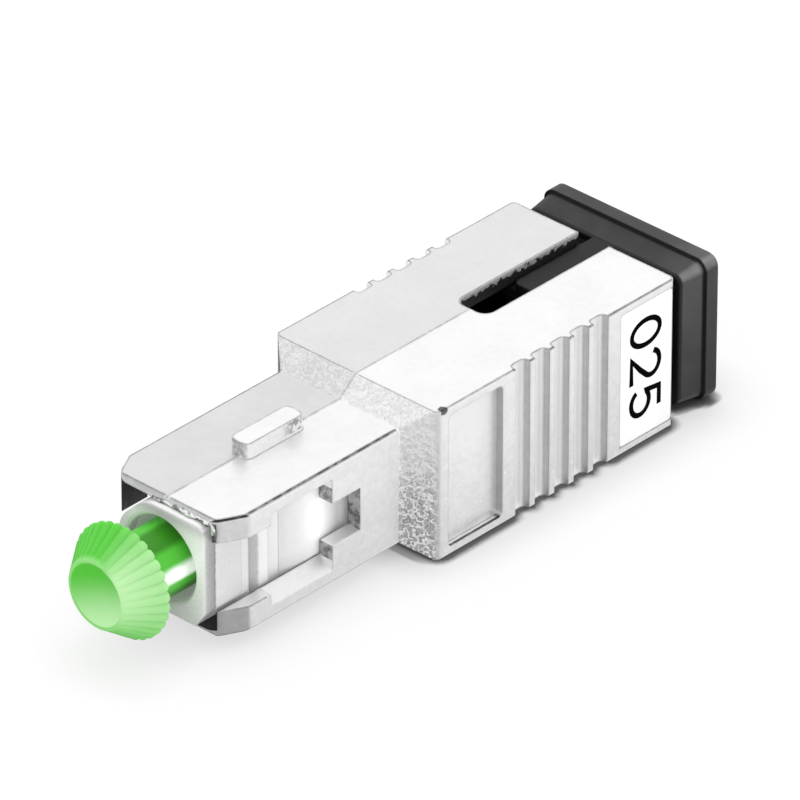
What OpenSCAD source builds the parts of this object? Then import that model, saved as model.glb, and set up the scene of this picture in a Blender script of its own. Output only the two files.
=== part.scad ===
// Plug-in fibre attenuator: square push-pull plug at the front, matching port at the rear.
// The optical axis runs along Y. The origin is under the middle of the body, on its lower face.

/* [Male section] */
// Width of the male section
male_w = 8.9; // [8.6:0.1:9.2]
// Height of the male section
male_h = 7.4; // [7.2:0.1:7.6]
// Length of the male section, up to the shoulder
male_l = 13.45; // [13:0.05:14.5]
// Thickness of the male section's side walls
male_side_wall = 0.95; // [0.85:0.05:1.05]
// Thickness of the male section's top and bottom walls
male_top_wall = 0.35; // [0.3:0.05:0.4]
// Chamfer of the front corners across the width
nose_chamfer_w = 1; // [0.7:0.05:1.1]
// Chamfer of the front corners along the length
nose_chamfer_l = 1.7; // [1.2:0.1:2.2]
// Radius of the front corners across the chamfers
nose_r = 1; // [0.4:0.1:1.2]
// Bevel of the front edges on top and below
nose_bevel = 0.25; // [0.1:0.05:0.3]
// Radius of the long edges of the male section
male_edge_r = 0.2; // [0.1:0.05:0.3]

/* [Side windows] */
// Height of the window between the rails, inside
window_h = 4.4; // [4:0.1:4.8]
// Length of the window, from the front
window_l = 8.1; // [7.6:0.1:8.4]
// Height by which each rail is bevelled away outside
rail_bevel_h = 0.7; // [0.4:0.05:0.8]
// Distance from the front to the start of the rail bevel
rail_bevel_start = 3.3; // [2.9:0.1:3.9]
// Height of the left window's mouth, between the cheeks at its front
left_mouth_h = 2.4; // [2.3:0.1:3.2]
// Length of those cheeks
cheek_l = 2; // [1.5:0.1:2.4]
// Height of the notch behind the window
notch_h = 2.7; // [2.3:0.1:3.1]
// Length of the notch behind the window
notch_l = 2.2; // [1.8:0.1:2.4]

/* [Key] */
// Width of the key on the male section
key_w = 1.36; // [1.1:0.02:1.7]
// Height of the key
key_h = 0.95; // [0.8:0.05:1]
// Length of the key
key_l = 4.5; // [4:0.1:5]
// Distance from the front to the key
key_start = 5.45; // [5:0.05:6]
// Radius of the key's upright corners
key_corner_r = 0.35; // [0.2:0.05:0.5]

/* [Body] */
// Width of the body
body_w = 12.2; // [12:0.1:12.8]
// Height of the body
body_h = 9.5; // [9.3:0.1:9.9]
// Length of the body behind the shoulder
body_l = 19.3; // [18.8:0.1:20]
// Length of the shoulder's slope on top and below
shoulder_l = 1.25; // [1:0.05:1.4]
// Length of the shoulder's slope on the sides
shoulder_side_l = 1.5; // [1.2:0.05:1.7]
// Radius of the upright edges behind the shoulder
shoulder_r = 0.5; // [0.2:0.1:0.8]
// Radius of the long edges of the body
body_edge_r = 0.14; // [0.06:0.02:0.3]
// Radius of the upright edges at the rear
rear_r = 0.4; // [0.1:0.05:0.5]
// Gap between the two half shells on the middle plane
seam_gap = 0.02; // [0.01:0.01:0.06]

/* [Body sides] */
// Depth of the side panel, the grip grooves and their walls
side_cut = 0.46; // [0.3:0.02:0.5]
// Distance from the shoulder to the side panel
panel_start = 0.85; // [0.6:0.05:1]
// Length of the side panel
panel_l = 4.35; // [4:0.05:4.5]
// Height of the rims above and below the side panel
panel_rim = 0.52; // [0.4:0.02:0.7]
// Radius of the side panel's corners
panel_r = 0.3; // [0.1:0.05:0.5]
// Distance from the shoulder to the first grip groove
groove_start = 6.25; // [6.1:0.05:6.6]
// Number of grip grooves
groove_count = 5; // [3:1:5]
// Length of one grip groove
groove_l = 1.15; // [0.95:0.05:1.25]
// Length of the rib between two grooves
rib_l = 0.44; // [0.3:0.02:0.5]
// Radius at the bottom of a groove
groove_r = 0.3; // [0.2:0.02:0.36]

/* [Label] */
// Length of the label
label_l = 4.2; // [3.8:0.1:4.3]
// Height of the metal left above and below the label
label_rim = 0.5; // [0.45:0.01:0.75]
// Thickness of the label
label_t = 0.1; // [0.06:0.01:0.12]
// Depth of the label's recess
label_recess = 0.14; // [0.12:0.01:0.2]
// Metal left behind the label
label_rear_rim = 0.2; // [0.15:0.05:0.4]
// Gap all round the label
label_gap = 0.05; // [0.03:0.01:0.1]
// Radius of the label's corners
label_r = 0.2; // [0.1:0.05:0.4]

/* [Rear port] */
// Width of the port
port_w = 9.1; // [9:0.05:9.3]
// Height of the port
port_h = 7.6; // [7.5:0.05:7.7]
// Depth of the port
port_depth = 13.4; // [13:0.1:13.6]
// Width of the keyway slot
slot_w = 2.3; // [2.1:0.05:2.4]
// Length of the keyway slot
slot_l = 10.1; // [9.6:0.1:10.4]
// Radius of the slot's front corners
slot_r = 0.7; // [0.3:0.05:0.9]
// Lead-in chamfer round the port's mouth
port_lead = 0.25; // [0.1:0.05:0.35]

/* [Core chamber] */
// Width of the chamber that holds the core's collar
chamber_w = 10.2; // [10:0.1:10.4]
// Height of the chamber
chamber_h = 8.2; // [8.1:0.05:8.3]
// Distance from the chamber to the front pegs of the half shells
peg_inset = 0.5; // [0.4:0.05:0.6]
// Radius of the locating pegs of the half shells
peg_r = 0.25; // [0.2:0.01:0.28]
// Length of the locating pegs
peg_l = 0.8; // [0.6:0.05:1]
// Radial clearance of the locating pegs
peg_clearance = 0.03; // [0.02:0.01:0.05]

/* [Core] */
// Travel of the core in the housing
core_travel = 1.5; // [1:0.1:1.5]
// Clearance of the plug frame in the male section, each side
frame_clearance = 0.06; // [0.04:0.01:0.08]
// Distance that the plug frame stands out of the metal
frame_stand = 0.7; // [0.5:0.05:0.9]
// Radius of the plug frame's front bore
frame_bore_r = 2.6; // [2.5:0.05:2.65]
// Depth of the plug frame's front bore
frame_bore_l = 5.3; // [5:0.1:5.6]
// Thickness of the shoulder that stops the ferrule flange
frame_shoulder = 0.6; // [0.5:0.05:0.8]
// Radius of the hole in that shoulder
frame_hole_r = 1.5; // [1.4:0.05:1.6]
// Distance that the left side of the plug frame's nose stands in
frame_left_inset = 0.4; // [0.2:0.05:0.45]
// Width of the large chamfer on the plug frame's upper left corner
frame_big_chamfer_w = 1.9; // [1.6:0.05:2]
// Height of the large chamfer on the plug frame's upper left corner
frame_big_chamfer_h = 1.9; // [1.6:0.05:2]
// Width of the chamfers on the plug frame's lower corners
frame_low_chamfer_w = 0.95; // [0.6:0.05:1.1]
// Height of the chamfers on the plug frame's lower corners
frame_low_chamfer_h = 1.3; // [0.9:0.1:1.4]
// Length of the plug frame's chamfered nose
frame_nose_l = 3.3; // [2.9:0.1:3.6]
// Rounding round the plug frame's front face
frame_round_r = 0.3; // [0.1:0.05:0.4]
// Radius of the plug frame's upper right corner
frame_corner_r = 0.9; // [0.5:0.1:1.2]
// Radius where the large chamfer meets the top and the left side
frame_left_r = 2; // [1:0.1:2.2]
// Radius where a chamfer of the plug frame meets its sides
frame_soft_r = 0.6; // [0.3:0.1:0.8]
// Lead-in at the mouth of the plug frame's front bore
frame_lead = 0.15; // [0.05:0.05:0.25]

/* [Sides of the plug frame] */
// Distance from the plug frame's front to the step in front of its groove
step_start = 2.75; // [2.5:0.05:2.9]
// Depth of that step
step_depth = 0.12; // [0.08:0.02:0.16]
// Length of that step
step_l = 0.65; // [0.5:0.05:0.8]
// Depth of the groove
valley_depth = 0.42; // [0.3:0.02:0.46]
// Length of the groove's front slope
valley_front_l = 0.35; // [0.3:0.05:0.5]
// Length of the groove's rear slope
valley_rear_l = 0.4; // [0.3:0.05:0.5]
// Length of the ridge behind the groove
ridge_l = 0.8; // [0.6:0.05:0.9]
// Depth of the flat between the ridge and the lug
flat_depth = 0.24; // [0.2:0.02:0.3]
// Length of that flat
flat_l = 0.9; // [0.7:0.05:1]
// Length of the lug
lug_l = 4.75; // [4.5:0.05:5]
// Share of the lug's length in front of its crown
lug_crown_share = 0.45; // [0.4:0.01:0.55]
// Depth of the lug's rear end below its crown
lug_end_depth = 0.3; // [0.2:0.02:0.36]
// Length of the low step behind the lug
tail_l = 1; // [0.8:0.1:1.2]

/* [Optical line] */
// Radius of the ferrule
ferrule_r = 1.25; // [1.249:0.001:1.25]
// Length of the ferrule in the split sleeve
ferrule_reach = 5.7; // [5.2:0.05:5.8]
// Distance that the ferrule stands out of the plug frame
ferrule_stand = 0.5; // [0.2:0.1:0.6]
// Angle of the ferrule's end faces
ferrule_angle = 8; // [0:1:9]
// Radius of the fibre
fibre_r = 0.0625; // [0.06:0.0005:0.065]
// Cement gap round the fibre
fibre_gap = 0.001; // [0.001:0.0005:0.002]
// Radius of the ferrule flange
flange_r = 2.45; // [2.3:0.05:2.5]
// Length of the ferrule flange
flange_l = 2.6; // [2.2:0.1:2.8]
// Radius of the barrel behind the flange
barrel_r = 1.78; // [1.7:0.02:1.8]
// Room left behind the barrel when the spring is pressed home
barrel_room = 0.9; // [0.6:0.1:1.2]
// Travel of the ferrule against its spring
float_travel = 1; // [0.6:0.1:1]
// Press clearance of the ferrule in its flange
press_gap = 0.01; // [0.005:0.005:0.02]

/* [Spring] */
// Radius of the spring wire
wire_r = 0.17; // [0.14:0.01:0.18]
// Mean radius of the spring
coil_r = 2.15; // [2.1:0.01:2.2]
// Number of turns
coil_turns = 5; // [4:1:6]
// Gap between the spring's ends and what they press on
coil_gap = 0.03; // [0.02:0.01:0.05]

/* [Spring seat] */
// Radial clearance of the spring seat in the plug frame
seat_clearance = 0.05; // [0.03:0.01:0.08]
// Length of the spring seat in the plug frame
seat_l = 3.6; // [3.2:0.1:3.8]
// Radius of the hole through the spring seat
seat_hole_r = 1.3; // [1.29:0.01:1.32]
// Length of the boss that stops the sleeve
seat_boss_l = 0.9; // [0.6:0.1:1.2]

/* [Sleeve] */
// Inner radius of the split sleeve
sleeve_r = 1.27; // [1.265:0.005:1.28]
// Wall of the split sleeve
sleeve_wall = 0.33; // [0.3:0.01:0.34]
// Length of the split sleeve
sleeve_l = 10.7; // [10.4:0.1:10.8]
// Width of the slit in the split sleeve
sleeve_slit = 0.5; // [0.3:0.05:0.7]

/* [Latch body] */
// Wall of the sleeve tube
tube_wall = 0.68; // [0.6:0.02:0.72]
// Clearance round the split sleeve
tube_clearance = 0.06; // [0.04:0.01:0.08]
// Press clearance of the sleeve tube in the collar
tube_press = 0.01; // [0.005:0.005:0.02]
// Thickness of the lip at the mouth of the sleeve tube
tube_lip = 0.6; // [0.5:0.05:0.8]
// Radius of the hole in that lip
tube_lip_r = 1.5; // [1.49:0.01:1.52]
// Length of the collar
collar_l = 3.7; // [3.5:0.1:3.7]
// Clearance of the collar in the chamber, each side
collar_clearance = 0.1; // [0.06:0.01:0.14]
// Depth of the collar's socket
socket_l = 1.5; // [1.2:0.1:1.8]
// Clearance of the plug frame in the socket, each side
socket_clearance = 0.05; // [0.03:0.01:0.08]
// Length of a latch hook behind the collar
hook_l = 7; // [6.6:0.1:7.1]
// Thickness of a latch hook
hook_t = 0.7; // [0.6:0.05:0.8]
// Height of a latch hook
hook_h = 2.2; // [1.8:0.1:2.3]
// Distance that a hook's nose stands inwards
hook_nose = 0.5; // [0.4:0.05:0.6]
// Length of a hook's nose
hook_nose_l = 1.4; // [1.2:0.1:1.6]
// Clearance between a hook and the port's wall
hook_clearance = 0.12; // [0.08:0.02:0.2]

/* [Dust cap] */
// Radius of the cap's head at the tips of its flutes
cap_r = 3.45; // [3.3:0.05:3.8]
// Radius of the cap's front face
cap_face_r = 2.12; // [2:0.02:2.5]
// Length of the cap's head
cap_head_l = 2.2; // [2:0.1:2.6]
// Length of the straight rim of the head
cap_rim_l = 0.3; // [0.2:0.05:0.5]
// Number of flutes
cap_flutes = 32; // [24:1:36]
// Depth of a flute at the rim
cap_flute_depth = 0.26; // [0.15:0.01:0.3]
// Depth of the dish in the front face
cap_dish = 0.3; // [0.2:0.05:0.45]
// Width of the rim round that dish
cap_dish_rim = 0.25; // [0.15:0.05:0.4]
// Radius of the cap's shank
cap_shank_r = 2.08; // [1.95:0.01:2.1]
// Length of shank in view between the head and the plug frame
cap_show = 2.7; // [2.5:0.1:3.4]
// Room left behind the shank when the ferrule is pressed home
cap_room = 0.2; // [0.1:0.05:0.5]
// Radial clearance of the cap on the ferrule
cap_clearance = 0.03; // [0.02:0.01:0.05]

/* [Dust plug] */
// Clearance of the dust plug in the port, each side
plug_clearance = 0.08; // [0.05:0.01:0.12]
// Depth of the dust plug in the port
plug_depth = 5.75; // [5.2:0.05:5.8]
// Gap between the body and the neck of the dust plug
plug_gap = 0.8; // [0.5:0.05:0.9]
// Wall of the dust plug's hollow part
plug_wall = 0.85; // [0.7:0.05:0.9]
// Width of the dust plug's key
plug_key_w = 1.6; // [1.4:0.05:1.9]
// Height of the dust plug's key
plug_key_h = 0.46; // [0.3:0.02:0.6]
// Distance from the flange's rim in to the neck at its front, each side
neck_inset = 0.42; // [0.36:0.01:0.44]
// Widening of the neck towards the flange, each side
neck_flare = 0.26; // [0.15:0.01:0.3]
// Length of the neck
neck_l = 1.8; // [1.5:0.05:2.2]
// Distance that the dust plug's flange stands in from the body's sides
flange_side_inset = 0.02; // [0.01:0.01:0.2]
// Distance that the dust plug's flange stands in from the body's top and bottom
flange_top_inset = 0.17; // [0.1:0.01:0.2]
// Thickness of the dust plug's flange
plug_flange_t = 1.1; // [0.9:0.05:1.3]
// Radius of the flange's corners
plug_corner_r = 0.75; // [0.5:0.05:0.9]
// Radius of the flange's outer edges
plug_edge_r = 0.15; // [0.1:0.05:0.25]

/* [Hidden] */

// Overrun of a cut past the face that it opens
over = 0.5;
// Facets of round shapes
round_fn = 64;
edge_fn = 32;
corner_steps = 6;

// Half sizes
male_x = male_w / 2;
male_z = male_h / 2;
body_x = body_w / 2;
body_z = body_h / 2;
port_x = port_w / 2;
port_z = port_h / 2;
chamber_x = chamber_w / 2;
chamber_z = chamber_h / 2;
bore_x = male_x - male_side_wall;
bore_z = male_z - male_top_wall;

// Places along the optical axis, from the front plane of the metal
front_y = -nose_bevel;
body_start = male_l + shoulder_l;
rear_y = body_start + body_l;
port_y = rear_y - port_depth;
chamber_y = port_y - collar_l - core_travel - 2 * collar_clearance;
slot_y = rear_y - slot_l;
panel_y = body_start + panel_start;
groove_y = body_start + groove_start;
groove_pitch = groove_l + rib_l;
label_y = rear_y - label_rear_rim - label_gap - label_l;
label_h = body_h - 2 * label_rim;
base_y = body_start + body_l / 2;
axis_z = body_z;

// Core, from its collar forwards and backwards
collar_y = port_y - collar_clearance - collar_l;
frame_x = bore_x - frame_clearance;
frame_z = bore_z - frame_clearance;
frame_front = -frame_stand;
frame_rear = collar_y + socket_l;
flange_y = frame_front + frame_bore_l + frame_shoulder;
ferrule_y = frame_front - ferrule_stand;
seat_y = frame_rear - seat_l;
barrel_end = seat_y - float_travel - barrel_room;
collar_x = chamber_x - collar_clearance;
collar_z = chamber_z - collar_clearance;
sleeve_outer = sleeve_r + sleeve_wall;
tube_bore_r = sleeve_outer + tube_clearance;
tube_r = tube_bore_r + tube_wall;
sleeve_y = frame_rear + seat_boss_l + tube_clearance;
tube_end = sleeve_y + sleeve_l + tube_clearance + tube_lip;
ferrule_end = sleeve_y + ferrule_reach;
hook_y = collar_y + collar_l;
hook_x = port_x - hook_clearance;

// Spring between the flange and its seat
spring_y = flange_y + flange_l;
spring_l = seat_y - spring_y;
coil_rise = spring_l - 2 * wire_r - 2 * coil_gap;
coil_steps = 20;
wire_sides = 8;

// Dust cap and dust plug
rim_y = frame_front - cap_show;
shank_end = frame_front + frame_bore_l - float_travel - cap_room;
plug_y = rear_y - plug_depth;
neck_y = rear_y + plug_gap;
flange_back_y = neck_y + neck_l;
plug_end = flange_back_y + plug_flange_t;
plug_flange_w = body_w - 2 * flange_side_inset;
plug_flange_h = body_h - 2 * flange_top_inset;
neck_w = plug_flange_w - 2 * neck_inset;
neck_h = plug_flange_h - 2 * neck_inset;
plug_skin = plug_edge_r / 3;
cap_tip_gap = 2 * cap_clearance + ferrule_stand;
plug_x = port_x - plug_clearance;
plug_z = port_z - plug_clearance;

// Side profile of the plug frame in its window, from the front to the rear
step_y = frame_front + step_start;
valley_y = step_y + step_l + valley_front_l;
ridge_y = valley_y + valley_rear_l;
flat_y = ridge_y + ridge_l;
lug_y = flat_y + flat_l;
tail_y = lug_y + lug_l + tail_l;
lug_steps = 12;

// Locating pegs: station along the axis and height across it
pegs = [
    [chamber_y - peg_inset, (bore_z + body_z) / 2],
    [chamber_y - peg_inset, -(bore_z + body_z) / 2],
    [(port_y + slot_y) / 2, (port_z + body_z) / 2],
    [(port_y + slot_y) / 2, -(port_z + body_z) / 2],
    [rear_y - 2 * peg_l, -(port_z + body_z) / 2]
];

// Moves a piece from the optical axis to the part's own frame
module place() {
    translate([0, -base_y, axis_z]) children();
}

// Outline of a box with round corners, made of squares and circles
module round_rect(w, h, r) {
    square([w - 2 * r, h], center = true);
    square([w, h - 2 * r], center = true);
    for (x = [-1, 1], y = [-1, 1])
        translate([x * (w / 2 - r), y * (h / 2 - r)]) circle(r, $fn = edge_fn);
}

// Points of an arc that rounds the corner b of a line from a by b to c
function corner_arc(a, b, c, r) =
    let (u = (a - b) / norm(a - b))
    let (v = (c - b) / norm(c - b))
    let (half = acos(u * v) / 2)
    let (start = b + u * r / tan(half))
    let (end = b + v * r / tan(half))
    let (centre = b + (u + v) / norm(u + v) * r / sin(half))
    [
        for (i = [0 : corner_steps])
            let (way = start + (end - start) * i / corner_steps - centre)
            centre + way / norm(way) * r
    ];

// Outline with each corner rounded by its own radius, or left sharp at zero
function rounded(points, radii) =
    let (n = len(points))
    [
        for (i = [0 : n - 1])
            each radii[i] > 0
                ? corner_arc(points[(i + n - 1) % n], points[i], points[(i + 1) % n], radii[i])
                : [points[i]]
    ];

// Bar along Y with a rounded section, from one station to another
module bar(w, h, r, from, to) {
    translate([0, to, 0]) rotate([90, 0, 0]) linear_extrude(to - from) round_rect(w, h, r);
}

// Box along Y, centred on the axis
module slab(w, h, from, to) {
    translate([-w / 2, from, -h / 2]) cube([w, to - from, h]);
}

// Round bar along Y
module rod(r, from, to) {
    translate([0, to, 0]) rotate([90, 0, 0]) cylinder(r = r, h = to - from, $fn = round_fn);
}

// Plan outline extruded over a height centred on the axis
module plan(h) {
    translate([0, 0, -h / 2]) linear_extrude(h) children();
}

// Side outline, drawn in Y and Z, extruded over a width centred on the axis
module side(w) {
    translate([-w / 2, 0, 0]) rotate([90, 0, 90]) linear_extrude(w) children();
}

// Outer form of the male section with its front corners taken off
module male_form() {
    intersection() {
        bar(male_w, male_h, male_edge_r, front_y, body_start);
        plan(male_h) polygon(rounded([
            [-male_x + nose_chamfer_w, front_y], [male_x - nose_chamfer_w, front_y],
            [male_x, nose_chamfer_l], [male_x, body_start],
            [-male_x, body_start], [-male_x, nose_chamfer_l]
        ], [nose_r, nose_r, nose_r, 0, 0, nose_r]));
        side(male_w) polygon([
            [front_y, -male_z + nose_bevel], [0, -male_z], [body_start, -male_z],
            [body_start, male_z], [0, male_z], [front_y, male_z - nose_bevel]
        ]);
    }
}

// Body with its sloping shoulder in front
module body_form() {
    side_y = male_l + shoulder_side_l;
    intersection() {
        bar(body_w, body_h, body_edge_r, male_l, rear_y);
        plan(body_h) polygon(rounded([
            [-male_x, male_l], [male_x, male_l], [body_x, side_y],
            [body_x, rear_y], [-body_x, rear_y], [-body_x, side_y]
        ], [0, 0, shoulder_r, rear_r, rear_r, shoulder_r]));
        side(body_w) polygon([
            [male_l, -male_z], [body_start, -body_z], [rear_y, -body_z],
            [rear_y, body_z], [body_start, body_z], [male_l, male_z]
        ]);
    }
}

// Key on top of the male section, cast on the right half and lying over the left one
module key_form(from) {
    translate([0, key_start + key_l / 2, from])
        linear_extrude(male_z + key_h - from) round_rect(key_w, key_l, key_corner_r);
}

// Groove with round bottom corners, cut inwards from the right side
module groove_cut(y) {
    translate([body_x, y, 0]) plan(body_h + over) {
        translate([-side_cut + groove_r, 0]) square([side_cut + over, groove_l]);
        translate([-side_cut, groove_r]) square([side_cut + over, groove_l - 2 * groove_r]);
        for (end = [groove_r, groove_l - groove_r])
            translate([-side_cut + groove_r, end]) circle(groove_r, $fn = edge_fn);
    }
}

// Cuts in one side of the body: panel, grip grooves and label recess
module side_cuts() {
    translate([body_x - side_cut, panel_y + panel_l / 2, 0]) rotate([0, 90, 0])
        linear_extrude(side_cut + over) round_rect(body_h - 2 * panel_rim, panel_l, panel_r);
    for (i = [0 : groove_count - 1]) groove_cut(groove_y + i * groove_pitch);
    translate([body_x - label_recess, label_y - label_gap, -label_h / 2 - label_gap])
        cube([label_recess + over, label_l + 2 * label_gap, label_h + 2 * label_gap]);
}

// Window, rail bevel and notch through one side wall of the male section
module window_cut() {
    wall_start = bore_x - over;
    translate([wall_start, -over, -window_h / 2])
        cube([male_side_wall + 2 * over, window_l + over, window_h]);
    translate([wall_start, 0, -notch_h / 2])
        cube([male_side_wall + 2 * over, window_l + notch_l, notch_h]);
    slope = rail_bevel_h / male_side_wall;
    outer_z = window_h / 2 + slope * (male_side_wall + over);
    translate([0, window_l, 0]) rotate([90, 0, 0]) linear_extrude(window_l - rail_bevel_start)
        polygon([
            [bore_x, -window_h / 2], [male_x + over, -outer_z],
            [male_x + over, outer_z], [bore_x, window_h / 2]
        ]);
}

// Hollows of the housing: male bore, chamber, port with its lead-in, and keyway slot
module housing_hollows() {
    slab(2 * bore_x, 2 * bore_z, -over, chamber_y + over);
    slab(chamber_w, chamber_h, chamber_y, port_y);
    slab(port_w, port_h, port_y - over, rear_y + over);
    intersection() {
        plan(body_h) polygon([
            [-port_x, rear_y - port_lead], [-port_x - port_lead - over, rear_y + over],
            [port_x + port_lead + over, rear_y + over], [port_x, rear_y - port_lead]
        ]);
        side(body_w) polygon([
            [rear_y - port_lead, -port_z], [rear_y + over, -port_z - port_lead - over],
            [rear_y + over, port_z + port_lead + over], [rear_y - port_lead, port_z]
        ]);
    }
    linear_extrude(body_z + over) {
        translate([-slot_w / 2, slot_y + slot_r]) square([slot_w, slot_l - slot_r + over]);
        translate([-slot_w / 2 + slot_r, slot_y]) square([slot_w - 2 * slot_r, slot_l]);
        for (x = [-1, 1])
            translate([x * (slot_w / 2 - slot_r), slot_y + slot_r]) circle(slot_r, $fn = edge_fn);
    }
}

// Whole housing before it is split
module housing_form() {
    difference() {
        union() {
            male_form();
            body_form();
        }
        housing_hollows();
        for (x = [0, 1]) mirror([x, 0, 0]) {
            window_cut();
            side_cuts();
        }
    }
}

// Cheeks above and below the mouth of the left window, which still lets an adapter's hook in
module left_cheeks() {
    wall = male_side_wall + over;
    intersection() {
        male_form();
        difference() {
            translate([-male_x - over, -over, -window_h / 2 - over])
                cube([wall, cheek_l + over, window_h + 2 * over]);
            translate([-male_x - 2 * over, -2 * over, -left_mouth_h / 2])
                cube([wall + 2 * over, cheek_l + 3 * over, left_mouth_h]);
        }
    }
}

// Half space on one side of the middle plane
module half_space(sign) {
    start = sign > 0 ? seam_gap / 2 : -body_x - over;
    translate([start, -over, -body_h])
        cube([body_x + over - seam_gap / 2, rear_y + 2 * over, 2 * body_h]);
}

module housing_left() {
    color("gainsboro") place() {
        intersection() {
            housing_form();
            half_space(-1);
        }
        left_cheeks();
        for (p = pegs)
            translate([-seam_gap, p[0], p[1]]) rotate([0, 90, 0])
                cylinder(r = peg_r, h = peg_l + seam_gap, $fn = edge_fn);
    }
}

module housing_right() {
    color("gainsboro") place() difference() {
        union() {
            intersection() {
                housing_form();
                half_space(1);
            }
            key_form(male_z + seam_gap);
            intersection() {
                key_form(bore_z);
                half_space(1);
            }
        }
        for (p = pegs)
            translate([-over, p[0], p[1]]) rotate([0, 90, 0])
                cylinder(r = peg_r + peg_clearance, h = over + peg_l + peg_r, $fn = edge_fn);
    }
}

module label() {
    color("white") place()
        translate([body_x - label_recess, label_y + label_l / 2, 0]) rotate([0, 90, 0])
            linear_extrude(label_t) round_rect(label_h, label_l, label_r);
}

// Curved outline of the lug on the plug frame's right side
function lug_edge() = [
    for (i = [0 : lug_steps])
        let (t = i / lug_steps)
        let (drop = (t - lug_crown_share) / (1 - lug_crown_share))
        [frame_x - lug_end_depth * drop * drop, lug_y + lug_l * t]
];

// Half plan of the plug frame: nose, groove, ridge, lug and tail on the right side
function frame_edge() = concat(
    corner_arc([0, frame_front], [frame_x, frame_front], [frame_x, step_y], frame_round_r),
    [
        [frame_x, step_y], [frame_x - step_depth, step_y],
        [frame_x - step_depth, step_y + step_l], [frame_x - valley_depth, valley_y],
        [frame_x - step_depth, ridge_y], [frame_x - step_depth, flat_y],
        [frame_x - flat_depth, flat_y], [frame_x - flat_depth, lug_y]
    ],
    lug_edge(),
    [[frame_x - lug_end_depth, tail_y], [frame_x, tail_y], [frame_x, frame_rear]]
);

// Section of the plug frame's nose with its corner chamfers
module nose_section() {
    left = -frame_x + frame_left_inset;
    soft = [for (i = [1 : 4]) frame_soft_r];
    polygon(rounded([
        [left, frame_z - frame_big_chamfer_h], [left + frame_big_chamfer_w, frame_z],
        [frame_x, frame_z],
        [frame_x, -frame_z + frame_low_chamfer_h], [frame_x - frame_low_chamfer_w, -frame_z],
        [left + frame_low_chamfer_w, -frame_z], [left, -frame_z + frame_low_chamfer_h]
    ], concat([frame_left_r, frame_left_r, frame_corner_r], soft)));
}

module plug_frame() {
    right = frame_edge();
    left = [for (i = [len(right) - 1 : -1 : 0]) [-right[i][0], right[i][1]]];
    nose_end = frame_front + frame_nose_l;
    color("whitesmoke") place() difference() {
        intersection() {
            plan(2 * frame_z) polygon(concat(right, left));
            side(2 * frame_x) polygon(rounded([
                [frame_front, -frame_z], [frame_rear, -frame_z], [frame_rear, frame_z], [frame_front, frame_z]
            ], [frame_round_r, 0, 0, frame_round_r]));
            union() {
                translate([0, nose_end, 0]) rotate([90, 0, 0]) linear_extrude(frame_nose_l) nose_section();
                slab(2 * frame_x, 2 * frame_z, nose_end, frame_rear);
            }
        }
        rod(frame_bore_r, frame_front - over, frame_front + frame_bore_l);
        translate([0, frame_front - over, 0]) rotate([-90, 0, 0])
            cylinder(r1 = frame_bore_r + frame_lead + over, r2 = frame_bore_r, h = frame_lead + over, $fn = round_fn);
        rod(frame_hole_r, 0, flange_y + over);
        rod(frame_bore_r, flange_y, frame_rear + over);
    }
}

// Latch hook on the right side, with its nose pointing inwards
module hook() {
    tip = hook_y + hook_l;
    inner = hook_x - hook_t;
    plan(hook_h) polygon([
        [hook_x, hook_y - socket_l / 2], [hook_x, tip], [inner, tip],
        [inner - hook_nose, tip - hook_nose_l / 2], [inner - hook_nose, tip - hook_nose_l],
        [inner, tip - hook_nose_l], [inner, hook_y - socket_l / 2]
    ]);
}

module latch_body() {
    color("honeydew") place() difference() {
        union() {
            slab(2 * collar_x, 2 * collar_z, collar_y, hook_y);
            for (x = [0, 1]) mirror([x, 0, 0]) hook();
        }
        slab(2 * (frame_x + socket_clearance), 2 * (frame_z + socket_clearance), collar_y - over, frame_rear);
        rod(tube_r + tube_press, collar_y, hook_y + over);
    }
}

module sleeve_tube() {
    color("honeydew") place() difference() {
        rod(tube_r, frame_rear, tube_end);
        rod(tube_bore_r, frame_rear - over, tube_end - tube_lip);
        rod(tube_lip_r, tube_end - tube_lip - over, tube_end + over);
    }
}

module spring_seat() {
    color("silver") place() difference() {
        union() {
            rod(frame_bore_r - seat_clearance, seat_y, frame_rear);
            rod(tube_bore_r - tube_clearance, frame_rear - over, frame_rear + seat_boss_l);
        }
        rod(seat_hole_r, seat_y - over, frame_rear + seat_boss_l + over);
    }
}

module split_sleeve() {
    color("ivory") place() difference() {
        rod(sleeve_outer, sleeve_y, sleeve_y + sleeve_l);
        rod(sleeve_r, sleeve_y - over, sleeve_y + sleeve_l + over);
        translate([0, sleeve_y - over, -sleeve_slit / 2])
            cube([sleeve_outer + over, sleeve_l + 2 * over, sleeve_slit]);
    }
}

// Keeps what lies between the two angled end faces
module angled_ends() {
    difference() {
        children();
        for (end = [[ferrule_y, 0], [ferrule_end, 180]])
            translate([0, end[0], 0]) rotate([0, 0, end[1]]) rotate([-ferrule_angle, 0, 0])
                translate([-body_x, -body_w, -body_z])
                    cube([body_w, body_w, body_h]);
    }
}

module ferrule() {
    color("white") place() angled_ends() difference() {
        rod(ferrule_r, ferrule_y - ferrule_r, ferrule_end + ferrule_r);
        rod(fibre_r + fibre_gap, ferrule_y - 2 * ferrule_r, ferrule_end + 2 * ferrule_r);
    }
}

module attenuating_fibre() {
    color("lightblue") place() angled_ends()
        rod(fibre_r, ferrule_y - ferrule_r, ferrule_end + ferrule_r);
}

module ferrule_flange() {
    color("silver") place() difference() {
        union() {
            rod(flange_r, flange_y, flange_y + flange_l);
            rod(barrel_r, flange_y + flange_l - over, barrel_end);
        }
        rod(ferrule_r + press_gap, flange_y - over, barrel_end + over);
    }
}

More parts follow.
